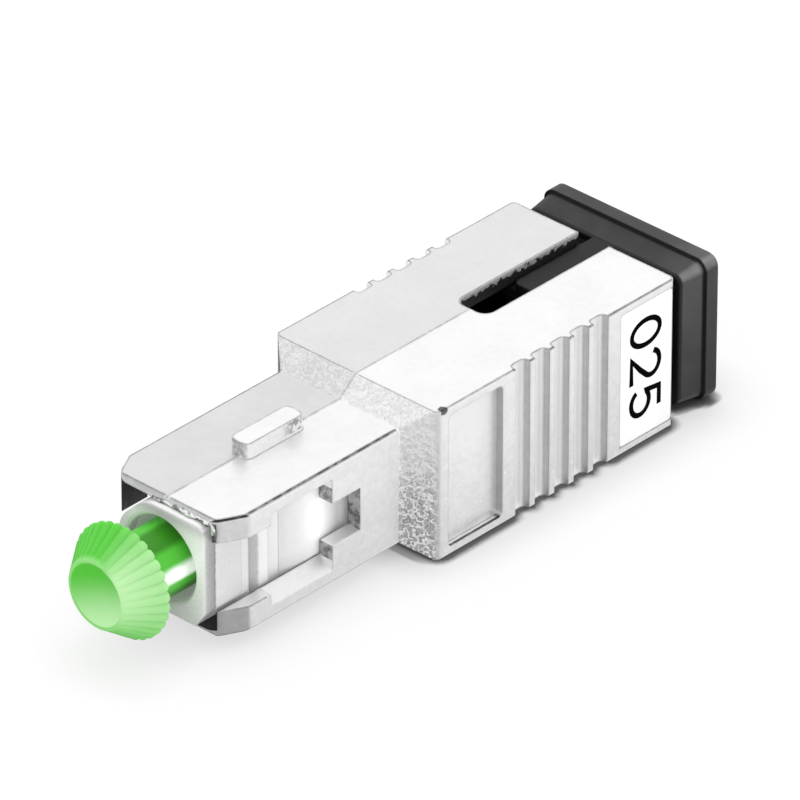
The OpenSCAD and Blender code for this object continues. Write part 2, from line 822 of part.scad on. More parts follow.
// Point on the wire's surface: step along the coil and corner round the wire
function wire_point(step, corner) =
    let (turn = 360 * step / coil_steps)
    let (around = 360 * corner / wire_sides)
    let (r = coil_r + wire_r * cos(around))
    [
        r * cos(turn),
        spring_y + coil_gap + wire_r * (1 + sin(around)) + coil_rise * step / (coil_turns * coil_steps),
        r * sin(turn)
    ];

module spring() {
    rings = coil_turns * coil_steps;
    points = [for (s = [0 : rings], c = [0 : wire_sides - 1]) wire_point(s, c)];
    walls = [
        for (s = [0 : rings - 1], c = [0 : wire_sides - 1])
            let (next = (c + 1) % wire_sides)
            [s * wire_sides + c, s * wire_sides + next, (s + 1) * wire_sides + next, (s + 1) * wire_sides + c]
    ];
    first = [for (c = [wire_sides - 1 : -1 : 0]) c];
    last = [for (c = [0 : wire_sides - 1]) rings * wire_sides + c];
    color("silver") place() polyhedron(points, concat(walls, [first, last]));
}

// Outline of the cap's head: rounded ridges with narrow flutes between them
module fluted_outline() {
    steps = 6;
    polygon([
        for (i = [0 : cap_flutes * steps - 1])
            let (turn = 360 * i / (cap_flutes * steps))
            let (phase = (i % steps) / steps)
            let (r = cap_r - cap_flute_depth * (1 - sin(180 * phase)))
            [r * cos(turn), r * sin(turn)]
    ]);
}

module dust_cap() {
    dish_r = cap_face_r - cap_dish_rim;
    dish_ball = (dish_r * dish_r + cap_dish * cap_dish) / (2 * cap_dish);
    face_y = rim_y - cap_head_l;
    color("limegreen") place() difference() {
        union() {
            translate([0, rim_y, 0]) rotate([90, 0, 0]) linear_extrude(cap_rim_l) fluted_outline();
            translate([0, rim_y - cap_rim_l, 0]) rotate([90, 0, 0])
                linear_extrude(cap_head_l - cap_rim_l, scale = cap_face_r / cap_r) fluted_outline();
            rod(cap_shank_r, rim_y - cap_rim_l / 2, shank_end);
        }
        translate([0, face_y + cap_dish - dish_ball, 0]) sphere(dish_ball, $fn = 2 * round_fn);
        rod(ferrule_r + cap_clearance, ferrule_y - cap_tip_gap, shank_end + over);
    }
}

// Slab of the dust plug with round corners
module plug_slab(w, h, r, from, thickness) {
    translate([0, from + thickness, 0]) rotate([90, 0, 0]) linear_extrude(thickness) round_rect(w, h, r);
}

// Neck of the dust plug, wider towards the flange
module plug_neck() {
    hull() {
        plug_slab(neck_w, neck_h, plug_corner_r - neck_flare, neck_y, plug_skin);
        plug_slab(
            neck_w + 2 * neck_flare, neck_h + 2 * neck_flare, plug_corner_r,
            flange_back_y - plug_skin, plug_skin
        );
    }
}

// Flange of the dust plug with its outer edges rounded off
module plug_flange() {
    inset = 2 * plug_edge_r;
    hull() {
        plug_slab(plug_flange_w, plug_flange_h, plug_corner_r, flange_back_y, plug_flange_t - plug_edge_r);
        plug_slab(plug_flange_w - inset, plug_flange_h - inset, plug_corner_r - plug_edge_r,
            plug_end - plug_skin, plug_skin);
    }
}

// Key of the dust plug, which lies in the keyway slot
module plug_key() {
    corner = plug_key_w / 4;
    linear_extrude(plug_z + plug_key_h) {
        translate([-plug_key_w / 2, plug_y + corner]) square([plug_key_w, plug_depth + plug_gap]);
        translate([-plug_key_w / 2 + corner, plug_y]) square([plug_key_w - 2 * corner, 2 * corner]);
        for (x = [-1, 1])
            translate([x * (plug_key_w / 2 - corner), plug_y + corner]) circle(corner, $fn = edge_fn);
    }
}

module dust_plug() {
    color("dimgray") place() difference() {
        union() {
            bar(2 * plug_x, 2 * plug_z, plug_corner_r - neck_flare, plug_y, neck_y + plug_skin);
            plug_key();
            plug_neck();
            plug_flange();
        }
        slab(2 * (plug_x - plug_wall), 2 * (plug_z - plug_wall), plug_y - over, flange_back_y);
    }
}

housing_left();
housing_right();
label();
plug_frame();
latch_body();
sleeve_tube();
spring_seat();
split_sleeve();
ferrule();
ferrule_flange();
attenuating_fibre();
spring();
dust_cap();
dust_plug();
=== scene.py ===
"""Looks of a plug-in fibre attenuator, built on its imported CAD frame."""

import logging
import math
import random
from dataclasses import dataclass, field
from enum import Enum
from typing import Callable, Optional, Sequence

import bmesh
import bpy
from mathutils import Matrix, Vector


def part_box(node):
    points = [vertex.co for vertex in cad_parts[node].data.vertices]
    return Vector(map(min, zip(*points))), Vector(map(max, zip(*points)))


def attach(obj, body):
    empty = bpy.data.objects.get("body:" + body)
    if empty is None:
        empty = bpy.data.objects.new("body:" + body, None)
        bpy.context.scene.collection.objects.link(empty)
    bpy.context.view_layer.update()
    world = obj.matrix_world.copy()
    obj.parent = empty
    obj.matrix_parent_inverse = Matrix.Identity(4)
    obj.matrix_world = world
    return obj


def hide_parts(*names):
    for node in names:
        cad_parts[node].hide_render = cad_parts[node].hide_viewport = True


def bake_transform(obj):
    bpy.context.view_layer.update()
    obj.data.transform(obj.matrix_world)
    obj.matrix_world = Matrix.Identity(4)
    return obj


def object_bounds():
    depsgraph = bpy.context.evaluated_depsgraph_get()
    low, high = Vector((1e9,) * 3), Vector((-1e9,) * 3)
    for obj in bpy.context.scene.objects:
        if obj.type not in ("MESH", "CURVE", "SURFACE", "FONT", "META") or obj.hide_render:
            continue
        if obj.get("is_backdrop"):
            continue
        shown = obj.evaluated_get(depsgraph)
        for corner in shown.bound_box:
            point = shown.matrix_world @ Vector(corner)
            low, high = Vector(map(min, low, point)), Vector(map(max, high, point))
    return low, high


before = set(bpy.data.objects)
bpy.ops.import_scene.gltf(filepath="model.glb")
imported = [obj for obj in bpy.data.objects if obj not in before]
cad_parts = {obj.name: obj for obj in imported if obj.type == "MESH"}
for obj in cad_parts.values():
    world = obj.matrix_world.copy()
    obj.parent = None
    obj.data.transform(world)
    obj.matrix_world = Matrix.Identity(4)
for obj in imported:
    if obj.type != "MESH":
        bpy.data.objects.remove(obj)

LOG = logging.getLogger("attenuator")
MM = 0.001
Colour = tuple[float, float, float]


class Half(Enum):
    """The two half shells of the housing, with the tone of their upper faces."""

    LEFT = ("housing_left", 0.82)
    RIGHT = ("housing_right", 0.98)

    @property
    def node(self) -> str:
        """Name of the CAD node."""
        return self.value[0]

    @property
    def tone(self) -> float:
        """Factor that darkens the half's upper faces."""
        return self.value[1]


class Graph:
    """Shader nodes of one material or world, with short calls to add and join them."""

    def __init__(self, tree: bpy.types.NodeTree) -> None:
        """Empties the tree.

        Args:
            tree: The node tree to fill.
        """
        self.tree = tree
        tree.nodes.clear()

    def add(self, kind: str, settings: Optional[dict] = None, **inputs) -> bpy.types.Node:
        """Adds one node.

        Args:
            kind: The node's type name.
            settings: Properties of the node itself.
            inputs: Values or sockets for its inputs, by name with _ for a space.

        Returns:
            The new node.
        """
        node = self.tree.nodes.new(kind)
        for name, value in (settings or {}).items():
            setattr(node, name, value)
        for name, value in inputs.items():
            self.put(node, name.replace("_", " "), value)
        return node

    def put(self, node: bpy.types.Node, name: object, value: object) -> None:
        """Sets or links one input.

        Args:
            node: The node that owns the input.
            name: The input's name or number.
            value: A constant or an output socket.
        """
        socket = node.inputs[name]
        if isinstance(value, bpy.types.NodeSocket):
            self.tree.links.new(value, socket)
        else:
            socket.default_value = value

    def math(self, operation: str, *values: object, clamp: bool = False) -> bpy.types.NodeSocket:
        """Adds a sum, product or other plain operation.

        Args:
            operation: Name of the operation.
            values: Constants or sockets, in order.
            clamp: Whether the result stays between 0 and 1.

        Returns:
            The result's socket.
        """
        node = self.add("ShaderNodeMath", {"operation": operation, "use_clamp": clamp})
        for number, value in enumerate(values):
            self.put(node, number, value)
        return node.outputs[0]

    def vector(self, operation: str, *values: object) -> bpy.types.Node:
        """Adds an operation on vectors.

        Args:
            operation: Name of the operation.
            values: Constants or sockets, in order.

        Returns:
            The new node.
        """
        node = self.add("ShaderNodeVectorMath", {"operation": operation})
        for number, value in enumerate(values):
            self.put(node, number, value)
        return node

    def ramp(self, value: object, low: float, high: float, start: object = 0.0, end: object = 1.0,
             smooth: bool = True) -> bpy.types.NodeSocket:
        """Maps a value from one range to another and holds it there.

        Args:
            value: The value's socket.
            low: Value at which the result starts to change.
            high: Value at which it has changed.
            start: Result below low.
            end: Result above high.
            smooth: Whether the change is eased.

        Returns:
            The result's socket.
        """
        node = self.add(
            "ShaderNodeMapRange",
            {"interpolation_type": "SMOOTHSTEP" if smooth else "LINEAR", "clamp": True},
        )
        for name, item in zip(("Value", "From Min", "From Max", "To Min", "To Max"), (value, low, high, start, end)):
            self.put(node, name, item)
        return node.outputs[0]

    def split(self, vector: object) -> Sequence[bpy.types.NodeSocket]:
        """Splits a vector into its three parts.

        Args:
            vector: The vector's socket.

        Returns:
            Sockets of the parts across, along and up.
        """
        return self.add("ShaderNodeSeparateXYZ", Vector=vector).outputs

    def product(self, *values: object) -> object:
        """Multiplies values.

        Args:
            values: Constants or sockets, at least one.

        Returns:
            The product.
        """
        result = values[0]
        for value in values[1:]:
            result = self.math("MULTIPLY", result, value)
        return result

    def inverse(self, value: object) -> bpy.types.NodeSocket:
        """Takes a value from one.

        Args:
            value: The value's socket.

        Returns:
            The result's socket.
        """
        return self.math("SUBTRACT", 1.0, value)

    def step(self, value: object, edge: float, below: bool = False) -> bpy.types.NodeSocket:
        """Tells on which side of an edge a value lies.

        Args:
            value: The value's socket.
            edge: The edge.
            below: Whether the result is 1 below the edge, not above it.

        Returns:
            Socket that is 0 or 1.
        """
        return self.math("LESS_THAN" if below else "GREATER_THAN", value, edge)

    def blend(self, share: object, a: object, b: object) -> bpy.types.NodeSocket:
        """Mixes two numbers.

        Args:
            share: Share of the second one.
            a: First number or socket.
            b: Second number or socket.

        Returns:
            The mixed number's socket.
        """
        node = self.add("ShaderNodeMix", {"data_type": "FLOAT"})
        for number, value in ((0, share), (2, a), (3, b)):
            self.put(node, number, value)
        return node.outputs[0]

    def tones(self, value: object, stops: Sequence[tuple[float, float]]) -> bpy.types.NodeSocket:
        """Looks a value up in a row of grey tones.

        Args:
            value: The value's socket, 0 to 1.
            stops: Places and tones, in order.

        Returns:
            The tone's socket.
        """
        node = self.add("ShaderNodeValToRGB", Fac=value)
        ramp = node.color_ramp
        while len(ramp.elements) > 1:
            ramp.elements.remove(ramp.elements[-1])
        for number, (at, tone) in enumerate(stops):
            element = ramp.elements[0] if number == 0 else ramp.elements.new(at)
            element.position = at
            element.color = (tone, tone, tone, 1.0)
        return self.split(node.outputs[0])[0]

    def mix(self, share: object, a: object, b: object) -> bpy.types.NodeSocket:
        """Mixes two colours.

        Args:
            share: Share of the second one.
            a: First colour or socket.
            b: Second colour or socket.

        Returns:
            The mixed colour's socket.
        """
        node = self.add("ShaderNodeMix", {"data_type": "RGBA"})
        for number, value in ((0, share), (6, a), (7, b)):
            self.put(node, number, (*value, 1.0) if isinstance(value, tuple) and len(value) == 3 else value)
        return node.outputs[2]

    def place(self) -> bpy.types.NodeSocket:
        """Gives the place on the piece in millimetres."""
        spot = self.add("ShaderNodeTexCoord").outputs["Object"]
        return self.vector("MULTIPLY", spot, (1 / MM, 1 / MM, 1 / MM)).outputs[0]

    def noise(self, spot: object, scale: float, detail: float = 3.0, rough: float = 0.55) -> bpy.types.NodeSocket:
        """Adds noise over a place in millimetres.

        Args:
            spot: Socket of the place.
            scale: Features per millimetre.
            detail: Number of finer layers.
            rough: Strength of the finer layers.

        Returns:
            The noise value's socket.
        """
        node = self.add("ShaderNodeTexNoise", Vector=spot, Scale=scale, Detail=detail, Roughness=rough)
        return node.outputs[0]

    def bump(self, height: object, depth_mm: float, normal: Optional[object] = None,
             strength: object = 1.0) -> bpy.types.NodeSocket:
        """Adds a bump.

        Args:
            height: Socket of the height, 0 to 1.
            depth_mm: Height of the bump in millimetres.
            normal: Normal to start from.
            strength: Share of the bump that shows.

        Returns:
            The bumped normal's socket.
        """
        node = self.add("ShaderNodeBump", Strength=strength, Distance=depth_mm * MM, Height=height)
        if normal is not None:
            self.put(node, "Normal", normal)
        return node.outputs[0]

    def soft_edge(self, radius_mm: float, samples: int = 4) -> bpy.types.NodeSocket:
        """Gives a normal that rounds sharp edges over.

        Args:
            radius_mm: Radius of the rounding.
            samples: Rays per look-up.

        Returns:
            The normal's socket.
        """
        node = self.add("ShaderNodeBevel", {"samples": samples}, Radius=radius_mm * MM)
        return node.outputs[0]


def new_material(name: str) -> tuple[bpy.types.Material, Graph]:
    """Makes an empty material.

    Args:
        name: Its name.

    Returns:
        The material and its graph.
    """
    material = bpy.data.materials.new(name)
    material.use_nodes = True
    return material, Graph(material.node_tree)


def close_surface(graph: Graph, shader: bpy.types.Node) -> None:
    """Joins a shader to a material's output.

    Args:
        graph: The material's graph.
        shader: The shader node.
    """
    graph.put(graph.add("ShaderNodeOutputMaterial"), "Surface", shader.outputs[0])


@dataclass(frozen=True)
class CastNickel:
    """Satin nickel plate over a die casting, with painted dark reflections along its edges and painted light and shade
    on its faces.
    """

    tone: float = 1.0
    edge_mm: float = 0.18
    roughness: float = 0.42
    metallic: float = 0.72
    line_strength: float = 0.92

    def build(self, name: str) -> bpy.types.Material:
        """Makes the material.

        Args:
            name: Its name.

        Returns:
            The material.
        """
        material, g = new_material(name)
        spot = g.place()
        place = g.split(spot)
        soft = g.soft_edge(self.edge_mm)
        facing = g.split(g.add("ShaderNodeNewGeometry").outputs["Normal"])
        shade = g.product(
            self.edge_lines(g, spot, place, soft),
            self.clouds_and_painted_light(g, spot, place, facing),
            self.hollows(g, spot, place, facing),
            self.worms(g, spot, place, facing),
        )
        colour = g.vector(
            "MULTIPLY", (0.985, 0.987, 0.99), g.add("ShaderNodeCombineXYZ", X=shade, Y=shade, Z=shade).outputs[0]
        )
        grain = g.noise(spot, 7.0, 2.0)
        shader = g.add(
            "ShaderNodeBsdfPrincipled",
            Base_Color=colour.outputs[0],
            Metallic=g.product(self.metallic, g.inverse(g.product(g.ramp(facing[1], -0.9, -0.5, 1.0, 0.0), g.step(place[0], -5.0, below=True)))),
            Roughness=g.ramp(grain, 0.3, 0.7, self.roughness - 0.04, self.roughness + 0.04),
            Specular_IOR_Level=0.3,
            Normal=self.cast_skin(g, spot, place, facing, soft),
        )
        close_surface(g, shader)
        return material

    def edge_lines(self, g: Graph, spot: object, place: Sequence[object], soft: object) -> object:
        """Paints the thin dark reflections where a face turns into the next, painted highlights on some rounded edges
        and painted shade on faces turned down near the foot.

        Args:
            g: The material's graph.
            spot: Place in millimetres.
            place: Its parts across, along and up.
            soft: Normal with soft edges.

        Returns:
            Socket of the light that is left, 0 to 1.
        """
        across, along, up = place
        x, y, z = g.split(soft)
        front = g.product(g.ramp(y, -0.5, -0.2, 1.0, 0.0), g.step(along, -23.0, below=True), g.ramp(x, 0.1, 0.22, 1.0, 0.0))
        heavy = g.math("MAXIMUM", g.product(g.step(across, 2.0), g.step(along, -11.4, below=True)),
                       g.product(g.step(across, 4.0), g.step(along, -3.55), g.step(along, 5.0, below=True)))
        plain = g.product(g.ramp(z, 0.62, 0.7), g.ramp(z, 0.985, 0.996, 1.0, 0.0))
        plain = g.blend(heavy, plain, g.product(g.ramp(z, 0.5, 0.6), g.ramp(z, 0.993, 0.999, 1.0, 0.0)))
        dark = g.blend(front, plain, g.product(g.ramp(z, 0.62, 0.8), g.ramp(z, 0.965, 0.992, 0.8, 0.0)))
        dark = g.product(dark, g.ramp(g.noise(spot, 1.4, 4.0), 0.3, 0.6, 0.7, 1.0))
        seam = g.product(g.ramp(g.math("ABSOLUTE", across), 0.1, 0.3, 1.0, 0.0), g.step(up, 8.3))
        dark = g.product(dark, g.inverse(g.product(seam, g.ramp(g.noise(spot, 1.1, 2.0), 0.4, 0.6, 0.5, 0.95))))
        outer = g.product(g.ramp(x, 0.2, 0.5), g.step(along, -9.3), g.step(up, 9.0))
        slope = g.product(g.ramp(along, -11.15, -11.05), g.ramp(along, -9.7, -9.62, 1.0, 0.0), g.ramp(g.math("ABSOLUTE", across), 5.7, 6.0, 1.0, 0.0))
        grooves = g.product(outer, g.ramp(along, -3.7, -3.5, 1.0, 0.0))
        inside = g.product(g.step(along, -21.4), g.step(along, -13.8, below=True), g.step(up, 1.3), g.step(up, 7.5, below=True))
        dark = g.product(dark, g.inverse(g.product(grooves, 0.4)), g.inverse(slope), g.inverse(inside))
        left = g.inverse(g.product(dark, self.line_strength))
        # Painted highlights on rounded edges (bright, foot, upright) and painted shade on low faces turned down
        # (below).
        bright = g.product(g.ramp(z, 0.12, 0.3), g.ramp(z, 0.5, 0.66, 1.0, 0.0), g.inverse(seam))
        sharp = g.math("MAXIMUM", g.math("ABSOLUTE", x), g.math("ABSOLUTE", y))
        upright = g.product(g.ramp(sharp, 0.8, 0.9), g.ramp(sharp, 0.955, 0.985, 1.0, 0.0), g.ramp(g.math("ABSOLUTE", z), 0.1, 0.3, 1.0, 0.0), g.step(along, -22.0))
        foot = g.product(g.ramp(z, -0.36, -0.28), g.ramp(z, -0.15, -0.05, 1.0, 0.0))
        below = g.product(g.ramp(z, -0.48, -0.36, 1.0, 0.0), g.step(up, 3.0, below=True))
        left = g.product(left, g.inverse(g.product(below, 0.72)))
        lit = g.math("MAXIMUM", g.math("MAXIMUM", bright, foot), g.product(upright, 0.6))
        return g.product(left, g.blend(lit, 1.0, 1.25))

    def clouds_and_painted_light(self, g: Graph, spot: object, place: Sequence[object], facing: Sequence[object]) -> object:
        """Varies the tone slowly, sets the tone of the upper faces, lightens the recessed panel a little, and paints
        the fall of light down the sides, shade on the grooves' rear walls, light on the groove floors and glints on
        the side faces.

        Args:
            g: The material's graph.
            spot: Place in millimetres.
            place: Its parts across, along and up.
            facing: Parts of the face's direction.

        Returns:
            Socket of the tone.
        """
        cloud = g.ramp(g.noise(spot, 0.3, 2.0), 0.3, 0.7, 0.96, 1.0)
        low = g.ramp(place[1], -11.5, -10.5, self.tone ** 1.25, self.tone)
        upward = g.blend(g.ramp(facing[2], 0.5, 0.95), 1.0, low)
        side = g.ramp(g.math("ABSOLUTE", facing[0]), 0.6, 0.9)
        fall = g.inverse(g.product(side, g.ramp(place[2], 0.5, 8.5, 0.16, 0.0)))
        # Painted shade on the right half's faces that look toward the front, such as the grooves' rear walls.
        walls = g.product(g.ramp(facing[1], -0.9, -0.6, 1.0, 0.0), g.step(place[1], -9.0), g.step(place[0], 0.0))
        walls = g.inverse(g.product(walls, 0.38))
        # Painted light on the groove floors, against the shade of their walls.
        floors = g.product(g.ramp(facing[0], 0.7, 0.95), g.step(place[1], -3.6), g.ramp(place[0], 5.95, 6.0, 1.0, 0.0))
        walls = g.product(walls, g.blend(floors, 1.0, 1.32))
        mottle = g.ramp(g.noise(spot, 2.2, 3.0, 0.6), 0.35, 0.65, g.ramp(facing[2], 0.5, 0.95, 0.95, 0.985), 1.01)
        panel = g.product(g.ramp(place[0], 6.04, 6.07, 1.0, 0.0), g.step(place[0], 5.5), g.step(place[1], -8.75),
                          g.step(place[1], -4.5, below=True), side)
        walls = g.product(walls, g.blend(panel, 1.0, 1.07))
        # Painted glints of the casting's pits, added to the side faces.
        painted_pit_glints = g.ramp(g.noise(spot, 4.5, 1.0), 0.66, 0.74, 0.0, 0.16)
        return g.math("ADD", g.product(cloud, upward, fall, walls, mottle), g.product(painted_pit_glints, side))

    def hollows(self, g: Graph, spot: object, place: Sequence[object], facing: Sequence[object]) -> object:
        """Paints shade into the hollows, under the panel's ledge and onto faces that look away from the light, and
        paints dark reflections on the shoulder, the front left wall, the key and the nose's top edge.

        Args:
            g: The material's graph.
            spot: Place in millimetres.
            place: Its parts across, along and up.
            facing: Parts of the face's direction.

        Returns:
            Socket of the light that is left, 0 to 1.
        """
        across, along, up = place
        wide = g.math("ABSOLUTE", across)
        tall = g.math("ABSOLUTE", g.math("SUBTRACT", up, 4.75))
        front = g.product(g.step(wide, 3.53, below=True), g.step(tall, 3.37, below=True), g.step(along, -9.0, below=True))
        rear = g.product(g.step(wide, 4.57, below=True), g.step(tall, 3.82, below=True), g.step(along, -9.0))
        slot = g.product(g.step(wide, 1.17, below=True), g.step(along, -0.47), g.step(up, 8.5))
        rough_lip = g.product(g.math("SUBTRACT", g.noise(spot, 2.6, 3.0, 0.6), 0.5), 1.6)
        lip = g.ramp(g.math("ADD", up, rough_lip), 9.16, 9.24)
        slot = g.product(slot, g.inverse(g.product(lip, g.ramp(up, 9.0, 9.1))))
        corner = g.vector("DISTANCE", spot, (5.98, -9.12, 9.45)).outputs["Value"]
        corner = g.ramp(g.math("ADD", corner, g.product(g.noise(spot, 4.0, 2.0), 0.25)), 0.36, 0.46, 1.0, 0.0)
        ledge = g.product(
            g.ramp(across, 6.04, 6.07, 1.0, 0.0), g.ramp(across, 5.87, 5.91), g.step(along, -8.75), g.step(along, -4.5, below=True),
            g.ramp(up, 0.54, 0.6, 1.0, 0.0), g.ramp(g.noise(spot, 1.6, 2.0), 0.35, 0.5, 0.8, 1.0),
        )
        shoulder = g.product(
            g.ramp(across, -4.7, -4.4, 1.0, 0.0), g.ramp(facing[0], -0.5, -0.2, 1.0, 0.0),
            g.step(along, -11.0), g.step(along, -9.3, below=True),
        )
        rail = g.product(g.ramp(across, -3.5, -3.3, 1.0, 0.0), g.step(along, -22.4, below=True),
                         g.ramp(facing[1], -0.5, -0.2, 1.0, 0.0), g.ramp(facing[2], 0.2, 0.5, 1.0, 0.0))
        glints = g.ramp(g.noise(spot, 5.0, 2.0), 0.56, 0.66)
        rail = g.product(rail, g.inverse(glints), g.step(up, 5.0))
        key = g.product(
            g.ramp(facing[0], 0.5, 0.8), g.step(up, 8.62), g.step(wide, 0.8, below=True),
            g.ramp(along, -16.4, -15.2), g.ramp(g.noise(spot, 3.0, 3.0), 0.42, 0.56),
        )
        key_end = g.product(
            g.ramp(facing[1], -0.9, -0.6, 1.0, 0.0), g.step(up, 8.5), g.step(wide, 0.8, below=True),
            g.step(along, -17.0, below=True), g.ramp(g.noise(spot, 2.6, 3.0), 0.35, 0.6, 0.3, 1.0),
        )
        window = g.product(
            g.ramp(facing[1], -0.9, -0.7, 1.0, 0.0), g.step(along, -17.0), g.step(along, -13.5, below=True),
            g.step(tall, 2.3, below=True), g.ramp(g.noise(spot, 2.4, 3.0, 0.65), 0.34, 0.6, 1.0, 0.55),
        )
        nose = g.product(g.ramp(facing[1], -0.4, -0.2, 1.0, 0.0), g.ramp(facing[0], 0.2, 0.4), g.step(along, -22.2, below=True))
        nose_line = g.product(nose, g.ramp(up, 8.24, 8.3), g.ramp(g.noise(spot, 3.0, 2.0), 0.3, 0.5, 0.8, 1.0))
        nose = g.product(nose, g.ramp(up, 3.4, 5.0, 0.34, 0.0))
        # Each mask above is painted shade or a painted dark reflection; the rail's glints are left bright as painted
        # glints.
        left = 1.0
        for mask, share in ((front, 0.92), (rear, 0.92), (slot, 0.94), (shoulder, 0.7), (rail, 0.9), (key, 0.6), (key_end, 0.5),
                            (window, 0.85), (nose, 1.0), (nose_line, 0.93), (corner, 0.85), (ledge, 0.88)):
            left = g.product(left, g.inverse(g.product(mask, share)))
        return left

    def taper(self, g: Graph, place: Sequence[object], facing: Sequence[object]) -> object:
        """Finds the sloping side faces of the shoulder.

        Args:
            g: The material's graph.
            place: Parts across, along and up.
            facing: Parts of the face's direction.

        Returns:
            Socket that is 1 on them and less on the upper slopes.
        """
        zone = g.product(g.step(place[1], -11.0), g.ramp(place[1], -9.75, -9.4, 1.0, 0.0))
        sides = g.ramp(g.math("ABSOLUTE", facing[0]), 0.3, 0.6, 0.45, 1.0)
        return g.product(zone, sides)

    def worms(self, g: Graph, spot: object, place: Sequence[object], facing: Sequence[object]) -> object:
        """Paints the highlights on the ridges and the shade in the creases of the crumpled skin on the shoulder's
        sides, brighter and smoother higher up.

        Args:
            g: The material's graph.
            spot: Place in millimetres.
            place: Its parts across, along and up.
            facing: Parts of the face's direction.

        Returns:
            Socket of the light that is left, over 1 on the painted highlights.
        """
        crease = g.math("ABSOLUTE", g.math("SUBTRACT", g.noise(spot, 2.6, 2.0, 0.5), 0.5))
        groove = g.math("ABSOLUTE", g.math("SUBTRACT", g.noise(g.vector("ADD", spot, (7.0, 3.0, 5.0)).outputs[0], 3.4, 2.0, 0.6), 0.5))
        ridge = g.product(g.ramp(crease, 0.0, 0.06, 2.1, 0.74), g.ramp(groove, 0.0, 0.04, 0.45, 1.0))
        high = g.product(g.ramp(crease, 0.0, 0.06, 1.55, 1.3), g.ramp(groove, 0.0, 0.04, 0.85, 1.0))
        flat = g.product(g.ramp(crease, 0.0, 0.07, 1.1, 0.94), g.ramp(groove, 0.0, 0.03, 0.78, 1.0))
        sides = g.ramp(g.math("ABSOLUTE", facing[0]), 0.3, 0.6)
        # Painted highlight and shade of the wrinkles, with less contrast higher up.
        skin = g.blend(sides, flat, g.blend(g.ramp(place[2], 3.0, 8.5), ridge, high))
        zone = g.product(g.step(place[1], -11.0), g.ramp(place[1], -9.75, -9.4, 1.0, 0.0))
        return g.blend(zone, 1.0, skin)

    def cast_skin(self, g: Graph, spot: object, place: Sequence[object], facing: Sequence[object],
                  soft: object) -> object:
        """Bumps of the casting: slow ripples, small pits and the wrinkled shoulder.

        Args:
            g: The material's graph.
            spot: Place in millimetres.
            place: Its parts across, along and up.
            facing: Parts of the face's direction.
            soft: Normal with soft edges.

        Returns:
            The bumped normal's socket.
        """
        wrinkle = g.noise(spot, 2.6, 2.0, 0.5)
        pits = g.ramp(g.add("ShaderNodeTexVoronoi", Vector=spot, Scale=1.3).outputs["Distance"], 0.03, 0.12)
        normal = g.bump(g.noise(spot, 0.8, 3.0, 0.5), 0.014, soft)
        normal = g.bump(g.product(pits, g.ramp(g.noise(spot, 4.5, 1.0), 0.6, 0.74, 1.0, 0.3)), 0.008, normal)
        return g.bump(wrinkle, 0.2, normal, self.taper(g, place, facing))


@dataclass(frozen=True)
class FlashNickel(CastNickel):
    """Shiny, uneven nickel of the thin flash left by the casting."""

    def edge_lines(self, g: Graph, spot: object, place: Sequence[object], soft: object) -> object:
        """Paints shade on the bead's underside and flecks of dark and light painted reflection along it, in place of
        edge lines.

        Args:
            g: The material's graph.
            spot: Place in millimetres.
            place: Its parts across, along and up.
            soft: Normal with soft edges.

        Returns:
            Socket of the light that is left, 0 to 1.
        """
        facing = g.split(soft)
        under = g.ramp(facing[2], -0.35, 0.15, 0.06, 1.0)
        return g.product(under, g.ramp(g.noise(spot, 1.7, 2.0, 0.6), 0.42, 0.52, 0.3, 1.25))

    def hollows(self, g: Graph, spot: object, place: Sequence[object], facing: Sequence[object]) -> object:
        """Leaves the flash as bright as it is.

        Args:
            g: The material's graph.
            spot: Place in millimetres.
            place: Its parts across, along and up.
            facing: Parts of the face's direction.

        Returns:
            The light that is left, which is all of it.
        """
        return 1.0


@dataclass(frozen=True)
class Moulded:
    """Moulded plastic with a faint skin texture and an optional even painted glow."""

    colour: Colour
    pale: Optional[Colour] = None
    roughness: float = 0.4
    specular: float = 0.5
    glow: float = 0.0
    edge_mm: float = 0.1
    texture_per_mm: float = 8.0
    texture_mm: float = 0.004
    # Strength of a painted glow: the plastic emits light though it is no lamp.
    light: float = 0.0

    def build(self, name: str) -> bpy.types.Material:
        """Makes the material.

        Args:
            name: Its name.

        Returns:
            The material.
        """
        material, g = new_material(name)
        spot = g.place()
        grain = g.noise(spot, self.texture_per_mm, 3.0)
        soft = g.soft_edge(self.edge_mm)
        shader = g.add(
            "ShaderNodeBsdfPrincipled",
            Base_Color=self.paint(g, spot, soft),
            Roughness=g.ramp(grain, 0.3, 0.7, self.roughness - 0.05, self.roughness + 0.05),
            Specular_IOR_Level=self.specular,
            Subsurface_Weight=self.glow,
            Subsurface_Radius=(0.5 * MM, 0.9 * MM, 0.4 * MM),
            Subsurface_Scale=1.0,
            Emission_Color=(1.0, 1.0, 1.0, 1.0),
            Emission_Strength=self.painted_glow(g, spot),
            Normal=g.bump(grain, self.texture_mm, soft),
        )
        close_surface(g, shader)
        return material

    def painted_glow(self, g: Graph, spot: object) -> object:
        """Gives the strength of the painted glow.

        Args:
            g: The material's graph.
            spot: Place in millimetres.

        Returns:
            The light's strength, a number or socket.
        """
        return self.light

    def paint(self, g: Graph, spot: object, soft: object) -> object:
        """Gives the colour at each place.

        Args:
            g: The material's graph.
            spot: Place in millimetres.
            soft: Normal with soft edges.

        Returns:
            The colour's socket.
        """
        cloud = g.noise(spot, 0.45, 2.0)
        pale = self.pale or tuple(c * 1.06 for c in self.colour)
        return g.mix(g.ramp(cloud, 0.35, 0.65), self.colour, pale)


